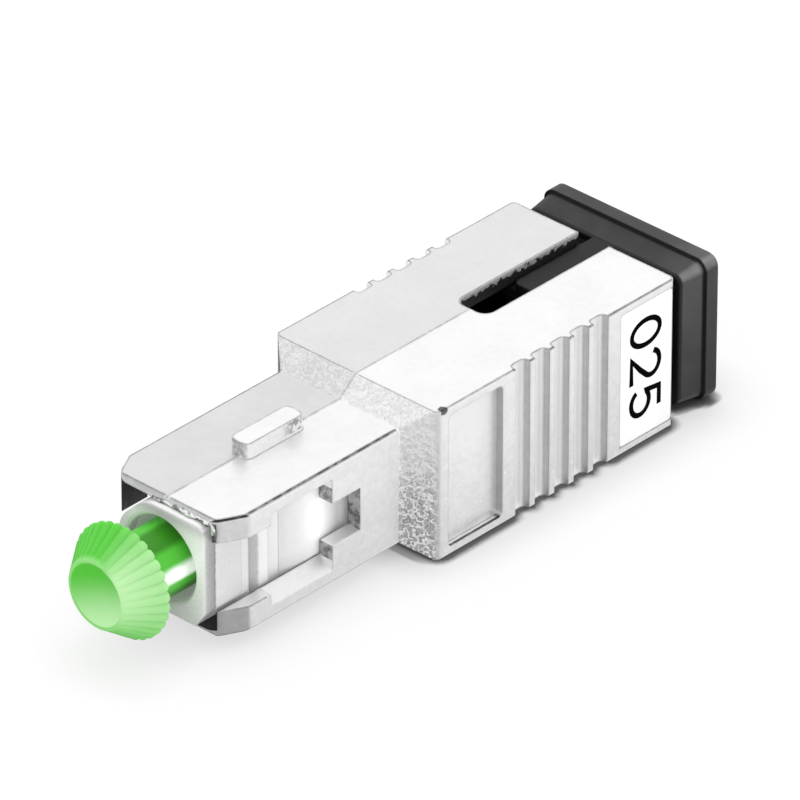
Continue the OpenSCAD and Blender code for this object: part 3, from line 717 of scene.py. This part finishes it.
@dataclass(frozen=True)
class FramePlastic(Moulded):
    """Pale plastic of the plug frame, with the soft vertical lights and shadows of its curved sides painted on, and
    painted light and shade round its front face.
    """

    front_mm: float = -25.05
    # Painted light and shade along the sides: place along the axis from the front, and tone.
    bands: tuple[tuple[float, float], ...] = (
        (0.0, 0.62), (0.35, 0.36), (0.6, 0.3), (0.7, 0.14), (0.8, 0.86), (2.6, 0.84), (2.8, 0.97), (3.35, 0.95),
        (3.55, 0.5), (4.1, 0.6), (4.25, 1.1), (4.95, 1.15), (5.0, 1.0), (5.8, 1.1), (5.95, 0.9), (7.0, 1.0),
        (7.6, 1.12), (8.3, 1.42), (9.1, 1.42), (10.2, 1.06), (10.5, 1.0),
    )
    # Painted light and shade round the front face: share of a turn about the axis, and tone.
    ring: tuple[tuple[float, float], ...] = (
        (0.0, 0.6), (0.27, 0.6), (0.36, 0.72), (0.42, 0.95), (0.5, 1.0), (0.58, 1.15), (0.64, 0.95), (0.7, 0.68),
        (0.75, 0.6), (0.8, 0.75), (0.86, 0.85), (0.92, 0.7), (1.0, 0.6),
    )
    axis_mm: float = 4.75

    def paint(self, g: Graph, spot: object, soft: object) -> object:
        """Gives the colour at each place.

        Args:
            g: The material's graph.
            spot: Place in millimetres.
            soft: Normal with soft edges.

        Returns:
            The colour's socket.
        """
        base = super().paint(g, spot, soft)
        across, along, up = g.split(spot)
        x = g.math("ABSOLUTE", g.split(soft)[0])
        last = self.bands[-1][0]
        way = g.math("DIVIDE", g.math("SUBTRACT", along, self.front_mm), last)
        wobble = g.product(g.math("SUBTRACT", g.noise(spot, 5.0, 2.0), 0.5), 0.018)
        tones = g.tones(g.math("ADD", way, wobble), [(at / last, tone) for at, tone in self.bands])
        side = g.ramp(x, 0.45, 0.85)
        # Painted shade: the sides darken towards the bottom, and the face darkens at the top under the metal lip.
        low = g.ramp(up, 2.2, 3.8, 0.82, 1.0)
        turn = g.math("ARCTAN2", g.math("SUBTRACT", up, self.axis_mm), across)
        turn = g.math("ADD", g.math("DIVIDE", turn, 2.0 * math.pi), 0.5)
        face = g.ramp(g.split(soft)[1], -0.9, -0.5, 1.0, 0.0)
        ring = g.product(g.tones(turn, self.ring), g.ramp(up, 7.0, 8.1, 1.0, 0.62))
        shade = g.blend(side, g.blend(face, 1.0, ring), g.product(tones, low))
        return g.vector("MULTIPLY", base, g.add("ShaderNodeCombineXYZ", X=shade, Y=shade, Z=shade).outputs[0]).outputs[0]


@dataclass(frozen=True)
class CapPlastic(Moulded):
    """Clear green plastic of the dust cap, painted pale where light comes through, painted darker where the shank lies
    in shade, with a painted highlight stripe along the shank.
    """

    # Pale green painted where light comes through the plastic.
    clear: Colour = (0.6, 0.93, 0.5)
    # Darker green painted where the shank lies in shade.
    shaded_green: Colour = (0.035, 0.27, 0.006)
    rim_mm: float = -27.75
    face_mm: float = -29.95
    axis_mm: float = 4.75

    def shine(self, g: Graph, spot: object) -> object:
        """Finds the bright stripe that the studio's light leaves along the shank.

        Args:
            g: The material's graph.
            spot: Place in millimetres.

        Returns:
            Socket that is 1 on the stripe.
        """
        across, along, up = g.split(spot)
        turn = g.math("ARCTAN2", g.math("SUBTRACT", up, self.axis_mm), across)
        stripe = g.product(g.ramp(turn, -0.14, 0.04), g.ramp(turn, 0.22, 0.46, 1.0, 0.0), g.step(along, self.rim_mm + 0.04))
        return g.product(stripe, g.ramp(g.noise(spot, 0.8, 1.0), 0.3, 0.6, 0.7, 1.0))

    def painted_glow(self, g: Graph, spot: object) -> object:
        """Gives the painted glow of the painted highlight stripe along the shank.

        Args:
            g: The material's graph.
            spot: Place in millimetres.

        Returns:
            The painted glow's strength as a socket.
        """
        return g.product(self.shine(g, spot), 0.42)

    def paint(self, g: Graph, spot: object, soft: object) -> object:
        """Gives the colour at each place.

        Args:
            g: The material's graph.
            spot: Place in millimetres.
            soft: Normal with soft edges.

        Returns:
            The colour's socket.
        """
        across, along, up = g.split(spot)
        rise = g.math("SUBTRACT", up, self.axis_mm)
        turn = g.math("ARCTAN2", rise, across)
        radius = g.math("SQRT", g.math("ADD", g.product(across, across), g.product(rise, rise)))
        # Painted light: the dish, the cone's crown, the lip ring and the back face are painted pale, as if lit
        # through.
        dish = g.product(g.ramp(radius, 1.84, 1.9, 1.0, 0.0), g.ramp(along, self.face_mm + 0.4, self.face_mm + 0.6, 1.0, 0.0))
        down = g.math("SUBTRACT", g.product(across, 0.45), rise)
        pale_dish = g.ramp(down, -1.5, 2.0, 0.0, 0.85)
        crown = g.product(g.ramp(turn, -1.3, 0.35, 0.25, 1.0), g.ramp(turn, 0.7, 1.7, 1.0, 0.0))
        pale_cone = g.product(crown, g.ramp(along, self.face_mm, self.rim_mm, 0.88, 0.66))
        lip = g.product(g.ramp(radius, 1.84, 1.95), g.ramp(radius, 2.05, 2.3, 1.0, 0.0))
        pale_head = g.math("MAXIMUM", g.blend(dish, pale_cone, pale_dish), g.product(lip, 0.4))
        back = g.product(g.ramp(g.split(soft)[1], 0.5, 0.8), g.ramp(along, self.rim_mm - 0.3, self.rim_mm - 0.1))
        head = g.mix(g.math("MAXIMUM", pale_head, back), self.colour, self.clear)
        # Painted shade on the shank's top and underside; the shine stripe is a painted highlight.
        over = g.product(g.ramp(turn, 0.75, 1.0), g.ramp(turn, 1.5, 1.75, 1.0, 0.0))
        under = g.ramp(turn, -0.5, -0.15, 1.0, 0.0)
        shank = g.mix(g.math("MAXIMUM", over, under), self.colour, self.shaded_green)
        shank = g.mix(self.shine(g, spot), shank, (1.0, 1.0, 0.98))
        return g.mix(g.ramp(along, self.rim_mm + 0.02, self.rim_mm + 0.06), head, shank)


@dataclass(frozen=True)
class PlugPlastic(Moulded):
    """Charcoal plastic of the dust plug, with painted shade in the gap behind the body and at the flange's step,
    painted light on its upper faces and sides, and a painted highlight on the lit corner.
    """

    neck_mm: float = 10.45
    flange_mm: float = 12.25

    def paint(self, g: Graph, spot: object, soft: object) -> object:
        """Gives the colour at each place.

        Args:
            g: The material's graph.
            spot: Place in millimetres.
            soft: Normal with soft edges.

        Returns:
            The colour's socket.
        """
        base = super().paint(g, spot, soft)
        across, along, up = g.split(spot)
        x, y, z = g.split(soft)
        # Painted highlight on the rounded corner between top and side.
        corner = g.ramp(g.product(x, z), 0.12, 0.5)
        flange = g.step(along, self.flange_mm)
        # Painted light: tops lighter towards the right and on the flange, sides lighter higher up.
        top = g.product(g.ramp(across, 2.0, 6.0, 0.8, 1.5), g.blend(flange, 1.55, 2.4))
        wall = g.product(g.ramp(up, 0.5, 9.0, 0.9, 2.5), g.blend(flange, 1.45, 0.85))
        side = g.blend(g.ramp(x, 0.5, 0.8), top, wall)
        # Painted shade in the gap behind the metal body and along the flange's step.
        gap = g.ramp(along, self.neck_mm + 0.16, self.neck_mm + 0.32)
        line = g.ramp(g.math("ABSOLUTE", g.math("SUBTRACT", along, self.flange_mm - 0.05)), 0.05, 0.16)
        shade = g.product(side, g.ramp(gap, 0.0, 1.0, 0.1, 1.0), g.ramp(line, 0.0, 1.0, 0.15, 1.0))
        shade = g.math("ADD", shade, g.product(corner, 6.0, gap))
        return g.vector("MULTIPLY", base, g.add("ShaderNodeCombineXYZ", X=shade, Y=shade, Z=shade).outputs[0]).outputs[0]


@dataclass(frozen=True)
class Ground:
    """Ground ceramic or turned metal with fine rings round the optical axis."""

    colour: Colour
    metallic: float = 0.0
    roughness: float = 0.3
    rings_per_mm: float = 6.0

    def build(self, name: str) -> bpy.types.Material:
        """Makes the material.

        Args:
            name: Its name.

        Returns:
            The material.
        """
        material, g = new_material(name)
        spot = g.place()
        rings = g.noise(g.vector("MULTIPLY", spot, (0.2, self.rings_per_mm, 0.2)).outputs[0], 1.0, 3.0)
        shader = g.add(
            "ShaderNodeBsdfPrincipled",
            Base_Color=g.mix(g.ramp(rings, 0.3, 0.7), self.colour, tuple(c * 0.93 for c in self.colour)),
            Metallic=self.metallic,
            Roughness=g.ramp(rings, 0.3, 0.7, self.roughness - 0.05, self.roughness + 0.08),
            Normal=g.bump(rings, 0.003, g.soft_edge(0.05)),
        )
        close_surface(g, shader)
        return material


@dataclass(frozen=True)
class ClearCore:
    """The doped fibre's glass."""

    colour: Colour = (0.8, 0.9, 0.97)

    def build(self, name: str) -> bpy.types.Material:
        """Makes the material.

        Args:
            name: Its name.

        Returns:
            The material.
        """
        material, g = new_material(name)
        haze = g.noise(g.place(), 12.0, 2.0)
        shader = g.add(
            "ShaderNodeBsdfPrincipled",
            Base_Color=g.mix(g.ramp(haze, 0.3, 0.7), self.colour, (0.9, 0.95, 1.0)),
            Roughness=0.08,
            Transmission_Weight=0.7,
            IOR=1.46,
        )
        close_surface(g, shader)
        return material


class Finishes:
    """All finishes of the part, each made once."""

    def __init__(self) -> None:
        """Builds every material of the part."""
        self.nickel = {half: CastNickel(tone=half.tone).build(f"cast_nickel_{half.name.lower()}") for half in Half}
        self.flash = FlashNickel(tone=0.98, edge_mm=0.02, roughness=0.16, metallic=1.0).build("flash_nickel")
        self.pale_plastic = Moulded(
            colour=(0.74, 0.75, 0.75), pale=(0.8, 0.81, 0.81), roughness=0.3, specular=0.5, edge_mm=0.12,
            texture_per_mm=9.0, texture_mm=0.001,
        ).build("pale_plastic")
        # The plug frame carries a painted glow.
        self.frame_plastic = FramePlastic(
            colour=(0.74, 0.735, 0.74), pale=(0.78, 0.775, 0.78), roughness=0.3, specular=0.5, edge_mm=0.16,
            texture_per_mm=9.0, texture_mm=0.001, light=0.12,
        ).build("frame_plastic")
        self.black_plastic = PlugPlastic(
            colour=(0.02, 0.02, 0.02), pale=(0.026, 0.026, 0.026), roughness=0.42, specular=0.28, edge_mm=0.2,
            texture_per_mm=14.0, texture_mm=0.002,
        ).build("black_plastic")
        self.green_plastic = CapPlastic(
            colour=(0.1, 0.6, 0.045), roughness=0.34, specular=0.36, glow=0.25, edge_mm=0.08,
            texture_per_mm=5.0, texture_mm=0.003,
        ).build("green_plastic")
        self.turned = Ground(colour=(0.7, 0.7, 0.69), metallic=1.0, roughness=0.28).build("turned_steel")
        self.ceramic = Ground(colour=(0.88, 0.87, 0.84), roughness=0.2, rings_per_mm=10.0).build("ground_ceramic")
        self.glass = ClearCore().build("fibre_glass")
        # The label film carries a painted glow.
        self.paper = Moulded(
            colour=(0.96, 0.96, 0.965), pale=(0.98, 0.98, 0.98), roughness=0.5, specular=0.3, edge_mm=0.03,
            texture_per_mm=6.0, texture_mm=0.001, light=0.1,
        ).build("label_film")
        self.ink = Moulded(
            colour=(0.003, 0.003, 0.003), pale=(0.005, 0.005, 0.005), roughness=0.9, specular=0.0, edge_mm=0.02,
            texture_per_mm=20.0, texture_mm=0.001,
        ).build("label_ink")


def dress(node: str, material: bpy.types.Material) -> bpy.types.Object:
    """Gives a CAD node its material.

    Args:
        node: Name of the CAD node.
        material: The material.

    Returns:
        The node's object.
    """
    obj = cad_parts[node]
    obj.data.materials.clear()
    obj.data.materials.append(material)
    return obj


class Form:
    """Points and faces of one piece, in millimetres."""

    def __init__(self) -> None:
        """Starts empty."""
        self.points: list[Vector] = []
        self.faces: list[tuple[int, ...]] = []

    def ring(self, points: Sequence[Vector]) -> list[int]:
        """Adds a row of points.

        Args:
            points: The points.

        Returns:
            Their numbers.
        """
        first = len(self.points)
        self.points.extend(points)
        return list(range(first, len(self.points)))

    def bridge(self, a: Sequence[int], b: Sequence[int], closed: bool = True) -> None:
        """Joins two rows of points with quads.

        Args:
            a: Numbers of the first row.
            b: Numbers of the second row.
            closed: Whether the last point joins the first.
        """
        count = len(a)
        for i in range(count if closed else count - 1):
            j = (i + 1) % count
            self.faces.append((a[i], a[j], b[j], b[i]))

    def fan(self, row: Sequence[int], tip: Vector) -> None:
        """Closes a row with triangles to one point.

        Args:
            row: Numbers of the row's points.
            tip: The point.
        """
        (middle,) = self.ring([tip])
        for i in range(len(row)):
            self.faces.append((row[i], row[(i + 1) % len(row)], middle))

    def make(self, name: str, material: bpy.types.Material, body: str, smooth: bool = True) -> bpy.types.Object:
        """Turns the form into a piece that rides on a body.

        Args:
            name: The piece's name.
            material: Its material.
            body: The CAD body that it rides on.
            smooth: Whether its faces are shaded smooth.

        Returns:
            The piece.
        """
        mesh = bpy.data.meshes.new(name)
        mesh.from_pydata([tuple(point * MM) for point in self.points], [], self.faces)
        solid = bmesh.new()
        solid.from_mesh(mesh)
        bmesh.ops.recalc_face_normals(solid, faces=solid.faces)
        solid.to_mesh(mesh)
        solid.free()
        for face in mesh.polygons:
            face.use_smooth = smooth
        mesh.materials.append(material)
        piece = bpy.data.objects.new(name, mesh)
        bpy.context.scene.collection.objects.link(piece)
        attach(piece, body)
        return piece


@dataclass
class Housing:
    """The two half shells with their cast nickel finish, and the rough flash round the front opening."""

    finishes: Finishes
    flash_mm: float = 0.17
    seed: int = 7
    shells: list[bpy.types.Object] = field(default_factory=list)

    def build(self) -> None:
        """Dresses both half shells and adds the flash."""
        for half in Half:
            self.shells.append(dress(half.node, self.finishes.nickel[half]))
        self.build_flash()

    def build_flash(self) -> None:
        """Makes the uneven bead of metal along the front opening's upper edge."""
        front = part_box("housing_right")[0].y / MM + 0.02
        chance = random.Random(self.seed)
        path = [Vector((-0.95 + 0.06 * i, front, 8.16)) for i in range(71)]
        corner = [Vector((3.3 + 0.28 * math.sin(t), front, 7.92 + 0.28 * math.cos(t))) for t in (0.2, 0.6, 1.0, 1.4)]
        path += corner + [Vector((3.58, front, 7.85 - 0.1 * i)) for i in range(8)]
        form = Form()
        sides = 10
        rows = []
        before = after = (0.5, 0.0)
        for i, spot in enumerate(path):
            ahead = (path[min(i + 1, len(path) - 1)] - path[max(i - 1, 0)]).normalized()
            side = Vector((0.0, 1.0, 0.0))
            up = ahead.cross(side)
            if i % 4 == 0:
                before, after = after, (chance.uniform(0.45, 1.1), chance.uniform(-0.06, 0.06))
            share = 0.5 - 0.5 * math.cos(math.pi * (i % 4) / 4)
            blob, shift = (a * (1 - share) + b * share for a, b in zip(before, after))
            size = self.flash_mm * blob * (0.4 if i in (0, len(path) - 1) else 1.0)
            drift = up * shift
            rows.append(form.ring([
                spot + drift + (side * math.sin(t) * 0.9 + up * math.cos(t)) * size
                for t in (2.0 * math.pi * k / sides for k in range(sides))
            ]))
        for a, b in zip(rows, rows[1:]):
            form.bridge(a, b)
        form.fan(rows[0], path[0])
        form.fan(rows[-1], path[-1])
        form.make("front_flash", self.finishes.flash, "housing")


@dataclass
class Core:
    """The pieces that slide together in the housing."""

    finishes: Finishes

    def build(self) -> None:
        """Dresses the plug frame, the latch body and what they hold."""
        dress("plug_frame", self.finishes.frame_plastic)
        dress("latch_body", self.finishes.pale_plastic)
        dress("sleeve_tube", self.finishes.pale_plastic)
        dress("spring_seat", self.finishes.turned)
        dress("split_sleeve", self.finishes.ceramic)
        dress("ferrule", self.finishes.ceramic)
        dress("ferrule_flange", self.finishes.turned)
        dress("attenuating_fibre", self.finishes.glass)
        self.build_spring()

    def build_spring(self) -> None:
        """Dresses the spring and shows a copy of its form, with the transform baked in, in its place."""
        node = dress("spring", self.finishes.turned)
        piece = bpy.data.objects.new("spring_form", node.data.copy())
        bpy.context.scene.collection.objects.link(piece)
        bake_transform(piece)
        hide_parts("spring")


@dataclass
class DustCovers:
    """The green cap in front and the black plug behind."""

    finishes: Finishes
    flutes: int = 32
    steps: int = 12
    rim_r: float = 3.45
    face_r: float = 2.12
    dish_r: float = 1.87
    dish_mm: float = 0.3
    head_mm: float = 2.2
    shank_r: float = 2.08
    bore_r: float = 1.28
    bore_end_mm: float = 3.84

    def build(self) -> None:
        """Dresses the plug and replaces the cap's solid by a softer form."""
        dress("dust_plug", self.finishes.black_plastic)
        dress("dust_cap", self.finishes.green_plastic)
        self.build_cap()

    def profile(self) -> list[tuple[float, float, float]]:
        """Gives the cap's section.

        Returns:
            Radius, place along the axis and depth of the flutes, from the dish's middle to the bore's end.
        """
        low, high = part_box("dust_cap")
        face, end = low.y / MM, high.y / MM
        rim = face + self.head_mm
        rows = [(self.dish_r * i / 8, face + self.dish_mm * (1 - (i / 8) ** 2), 0.0) for i in range(1, 9)]
        rows += [(self.dish_r + 0.06, face, 0.0), (self.face_r - 0.07, face, 0.01), (self.face_r - 0.01, face + 0.05, 0.05)]
        for i in range(1, 13):
            t = i / 12
            rows.append((self.face_r + (self.rim_r - self.face_r) * t, face + 0.08 + (self.head_mm - 0.36) * t, 0.05 + 0.14 * t))
        rows += [(self.rim_r, rim - 0.1, 0.2), (self.rim_r - 0.03, rim - 0.02, 0.2), (self.rim_r - 0.12, rim, 0.16)]
        rows += [(self.shank_r + 0.3, rim, 0.0), (self.shank_r, rim + 0.02, 0.0)]
        rows += [(self.shank_r, rim + (end - rim) * i / 6, 0.0) for i in range(1, 6)]
        rows += [(self.shank_r, end - 0.1, 0.0), (self.shank_r - 0.1, end, 0.0), (self.bore_r, end, 0.0)]
        rows += [(self.bore_r, face + self.bore_end_mm, 0.0)]
        return rows

    def build_cap(self) -> None:
        """Makes the cap as one closed form of rings."""
        middle = (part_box("dust_cap")[0].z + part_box("dust_cap")[1].z) / 2 / MM
        count = self.flutes * self.steps
        form = Form()
        rings = []
        rows = self.profile()
        for radius, along, depth in rows:
            points = []
            for k in range(count):
                turn = 2.0 * math.pi * k / count
                ridge = abs(math.sin(self.flutes * turn / 2))
                r = radius - depth * (1 - ridge) ** 1.6
                points.append(Vector((r * math.cos(turn), along, middle + r * math.sin(turn))))
            rings.append(form.ring(points))
        for a, b in zip(rings, rings[1:]):
            form.bridge(a, b)
        form.fan(rings[0], Vector((0.0, rows[0][1] + 0.004, middle)))
        form.fan(rings[-1], Vector((0.0, rows[-1][1], middle)))
        piece = form.make("cap_form", self.finishes.green_plastic, "cap")
        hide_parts("dust_cap")


@dataclass
class LabelPrint:
    """Plain digits on the label, written from the top down."""

    finishes: Finishes
    digits: str = "025"
    glyph_h: float = 2.3
    glyph_w: float = 1.72
    gap: float = 0.5
    stroke: float = 0.33
    left: float = 0.9
    top: float = 1.05

    def build(self) -> None:
        """Dresses the label and prints the digits."""
        dress("label", self.finishes.paper)
        low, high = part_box("label")
        for number, digit in enumerate(self.digits):
            start = high.z / MM - self.top - number * (self.glyph_w + self.gap)
            self.print_digit(f"digit_{number + 1}", digit, start, low.y / MM + self.left, high.x / MM)

    def outline(self, digit: str) -> tuple[list[tuple[float, float]], bool]:
        """Gives a digit's middle line in a box of one by one.

        Args:
            digit: The digit.

        Returns:
            The line's points, and whether it is closed.
        """
        def arc(x: float, y: float, rx: float, ry: float, start: float, end: float, count: int = 14) -> list:
            turns = [math.radians(start + (end - start) * i / count) for i in range(count + 1)]
            return [(x + rx * math.cos(t), y + ry * math.sin(t)) for t in turns]

        if digit == "0":
            return arc(0.5, 0.5, 0.46, 0.5, 0.0, 360.0, 32)[:-1], True
        if digit == "2":
            return arc(0.48, 0.71, 0.44, 0.29, 165.0, -35.0) + [(0.55, 0.32), (0.05, 0.0), (0.98, 0.0)], False
        return [(0.9, 1.0), (0.2, 1.0), (0.12, 0.55)] + arc(0.48, 0.32, 0.46, 0.32, 130.0, -155.0, 18), False

    def print_digit(self, name: str, digit: str, start: float, foot: float, surface: float) -> None:
        """Makes one digit as a thin flat stroke.

        Args:
            name: The piece's name.
            digit: The digit.
            start: Height of its left side, which points up.
            foot: Place of its foot along the axis.
            surface: Place of the label's face across the body.
        """
        line, closed = self.outline(digit)
        spots = [Vector((0.0, foot + v * self.glyph_h, start - u * self.glyph_w)) for u, v in line]
        form = Form()
        rows = []
        count = len(spots)
        for i, spot in enumerate(spots):
            before = spots[(i - 1) % count] if closed or i > 0 else spot
            after = spots[(i + 1) % count] if closed or i < count - 1 else spot
            a = (spot - before).normalized() if spot != before else (after - spot).normalized()
            b = (after - spot).normalized() if spot != after else a
            way = (a + b).normalized()
            side = Vector((0.0, -way.z, way.y)) * (self.stroke / 2 / max(0.5, way.dot(a)))
            rows.append(form.ring([
                spot + side + Vector((surface - 0.01, 0.0, 0.0)), spot + side + Vector((surface + 0.012, 0.0, 0.0)),
                spot - side + Vector((surface + 0.012, 0.0, 0.0)), spot - side + Vector((surface - 0.01, 0.0, 0.0)),
            ]))
        for i in range(count if closed else count - 1):
            form.bridge(rows[i], rows[(i + 1) % count])
        if not closed:
            form.faces += [tuple(rows[0]), tuple(rows[-1])]
        form.make(name, self.finishes.ink, "housing", smooth=False)


@dataclass(frozen=True)
class Studio:
    """White room: a pale floor with painted contact shadows, an even sky, one large soft lamp and darker low corners
    for reflections.
    """

    floor_side_mm: float = 4000.0
    floor_share: float = 0.85
    contact_mm: float = 0.72
    front_contact_mm: float = 0.4
    shade_mm: float = 4.0
    shade_tone: float = 0.44
    front_shade_tone: float = 0.75
    sky: float = 0.95
    lamp_watts: float = 0.6

    def build(self) -> None:
        """Makes the floor, the world and the lamp."""
        self.make_floor()
        self.make_world()
        self.make_lamp()

    def make_floor(self) -> None:
        """Makes the floor under the part's lowest point; the camera sees it mostly as white emission with painted
        contact shadows from ambient occlusion.
        """
        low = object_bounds()[0].z
        side = self.floor_side_mm * MM
        count = 8
        points = [
            (side * (i / count - 0.5), side * (j / count - 0.5), low) for j in range(count + 1) for i in range(count + 1)
        ]
        row = count + 1
        faces = [
            (j * row + i, j * row + i + 1, (j + 1) * row + i + 1, (j + 1) * row + i)
            for j in range(count) for i in range(count)
        ]
        mesh = bpy.data.meshes.new("studio_floor")
        mesh.from_pydata(points, [], faces)
        floor = bpy.data.objects.new("studio_floor", mesh)
        bpy.context.scene.collection.objects.link(floor)
        material, g = new_material("floor_paper")
        cloud = g.noise(g.place(), 0.01, 2.0)
        shader = g.add(
            "ShaderNodeBsdfPrincipled",
            Base_Color=g.mix(cloud, (0.95, 0.95, 0.952), (0.96, 0.96, 0.96)),
            Roughness=0.9,
            Specular_IOR_Level=0.0,
        )
        seen = g.add("ShaderNodeLightPath").outputs["Is Camera Ray"]
        along = g.split(g.place())[1]
        reach = g.ramp(along, -12.0, -9.5, self.front_contact_mm * MM, self.contact_mm * MM)
        near = g.add("ShaderNodeAmbientOcclusion", {"samples": 4}, Distance=reach).outputs["AO"]
        wide = g.add("ShaderNodeAmbientOcclusion", {"samples": 1}, Distance=self.shade_mm * MM).outputs["AO"]
        shade = g.ramp(wide, 0.0, 1.0, g.ramp(along, -13.0, -10.0, self.front_shade_tone, self.shade_tone), 1.0, smooth=False)
        light = g.product(g.ramp(near, 0.74, 0.98, g.ramp(along, -10.2, -9.6, 0.5, 0.0), 1.0), shade)
        # The camera sees this white emission, darkened by the painted contact shadows.
        white = g.add("ShaderNodeEmission", Color=(1.0, 1.0, 1.0, 1.0), Strength=light)
        both = g.add("ShaderNodeMixShader", Fac=g.product(seen, self.floor_share))
        g.put(both, 1, shader.outputs[0])
        g.put(both, 2, white.outputs[0])
        close_surface(g, both)
        mesh.materials.append(material)
        floor.visible_glossy = False
        floor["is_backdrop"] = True

    def make_world(self) -> None:
        """Makes the sky, white to the camera and shaped for reflections."""
        world = bpy.data.worlds.new("studio_sky")
        bpy.context.scene.world = world
        world.use_nodes = True
        g = Graph(world.node_tree)
        way = g.add("ShaderNodeSeparateXYZ", Vector=g.add("ShaderNodeTexCoord").outputs["Generated"])
        across, along, up = way.outputs
        high = g.ramp(along, -0.75, 0.45, 0.8, 0.97)
        low = g.ramp(along, -0.5, 0.6, 0.36, 0.86)
        low = g.math("MULTIPLY", low, g.ramp(across, -0.35, 0.15, 0.12, 1.0))
        blend = g.ramp(up, -0.22, 0.12)
        tone = g.math("ADD", g.math("MULTIPLY", high, blend), g.math("MULTIPLY", low, g.math("SUBTRACT", 1.0, blend)))
        path = g.add("ShaderNodeLightPath")
        rest = g.math("SUBTRACT", 1.0, path.outputs["Is Glossy Ray"])
        light = g.math(
            "ADD", g.math("MULTIPLY", tone, path.outputs["Is Glossy Ray"]), g.math("MULTIPLY", rest, self.sky)
        )
        light = g.math("MAXIMUM", light, g.math("MULTIPLY", path.outputs["Is Camera Ray"], 1.02))
        back = g.add("ShaderNodeBackground", Color=(1.0, 1.0, 1.0, 1.0), Strength=light)
        g.put(g.add("ShaderNodeOutputWorld"), "Surface", back.outputs[0])

    def make_lamp(self) -> None:
        """Hangs one large lamp over the left side, behind the part."""
        data = bpy.data.lights.new("overhead_box", "AREA")
        data.shape = "RECTANGLE"
        data.size = 0.5
        data.size_y = 0.4
        data.energy = self.lamp_watts
        lamp = bpy.data.objects.new("overhead_box", data)
        lamp.location = (-0.12, 0.1, 0.42)
        lamp.rotation_mode = "QUATERNION"
        lamp.rotation_quaternion = (Vector((0.0, 0.0, 0.0)) - lamp.location).to_track_quat("-Z", "Y")
        lamp.visible_glossy = False
        bpy.context.scene.collection.objects.link(lamp)


@dataclass(frozen=True)
class PhotoCamera:
    """Camera fitted to the photograph."""

    azimuth: float = 42.9385
    elevation: float = 31.9054
    distance_mm: float = 600.0
    focal_px: float = 10960.0
    image_px: float = 800.0
    target_mm: Colour = (0.0, -6.35, 4.75)
    right_shift_mm: float = 0.16104
    up_shift_mm: float = 1.3104
    sensor_mm: float = 36.0

    def build(self) -> bpy.types.Object:
        """Makes the camera and sets it as the scene's own.

        Returns:
            The camera.
        """
        a, e = math.radians(self.azimuth), math.radians(self.elevation)
        back = Vector((math.sin(a) * math.cos(e), -math.cos(a) * math.cos(e), math.sin(e)))
        right = Vector((math.cos(a), math.sin(a), 0.0))
        up = back.cross(right)
        spot = Vector(self.target_mm) + back * self.distance_mm + right * self.right_shift_mm + up * self.up_shift_mm
        data = bpy.data.cameras.new("photo_camera")
        data.sensor_fit = "HORIZONTAL"
        data.sensor_width = self.sensor_mm
        data.lens = self.focal_px / self.image_px * self.sensor_mm
        data.clip_start = 0.05
        data.clip_end = 20.0
        camera = bpy.data.objects.new("photo_camera", data)
        turn = Matrix((right, up, back)).transposed().to_4x4()
        camera.matrix_world = Matrix.Translation(spot * MM) @ turn
        bpy.context.scene.collection.objects.link(camera)
        bpy.context.scene.camera = camera
        return camera


def main() -> None:
    """Builds the looks, the studio and the camera."""
    logging.basicConfig(level=logging.INFO)
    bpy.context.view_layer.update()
    bpy.context.scene.view_settings.view_transform = "Standard"
    finishes = Finishes()
    for part in (Housing(finishes), Core(finishes), DustCovers(finishes), LabelPrint(finishes)):
        part.build()
        LOG.info("built %s", type(part).__name__)
    Studio().build()
    PhotoCamera().build()


if __name__ == "__main__":
    main()
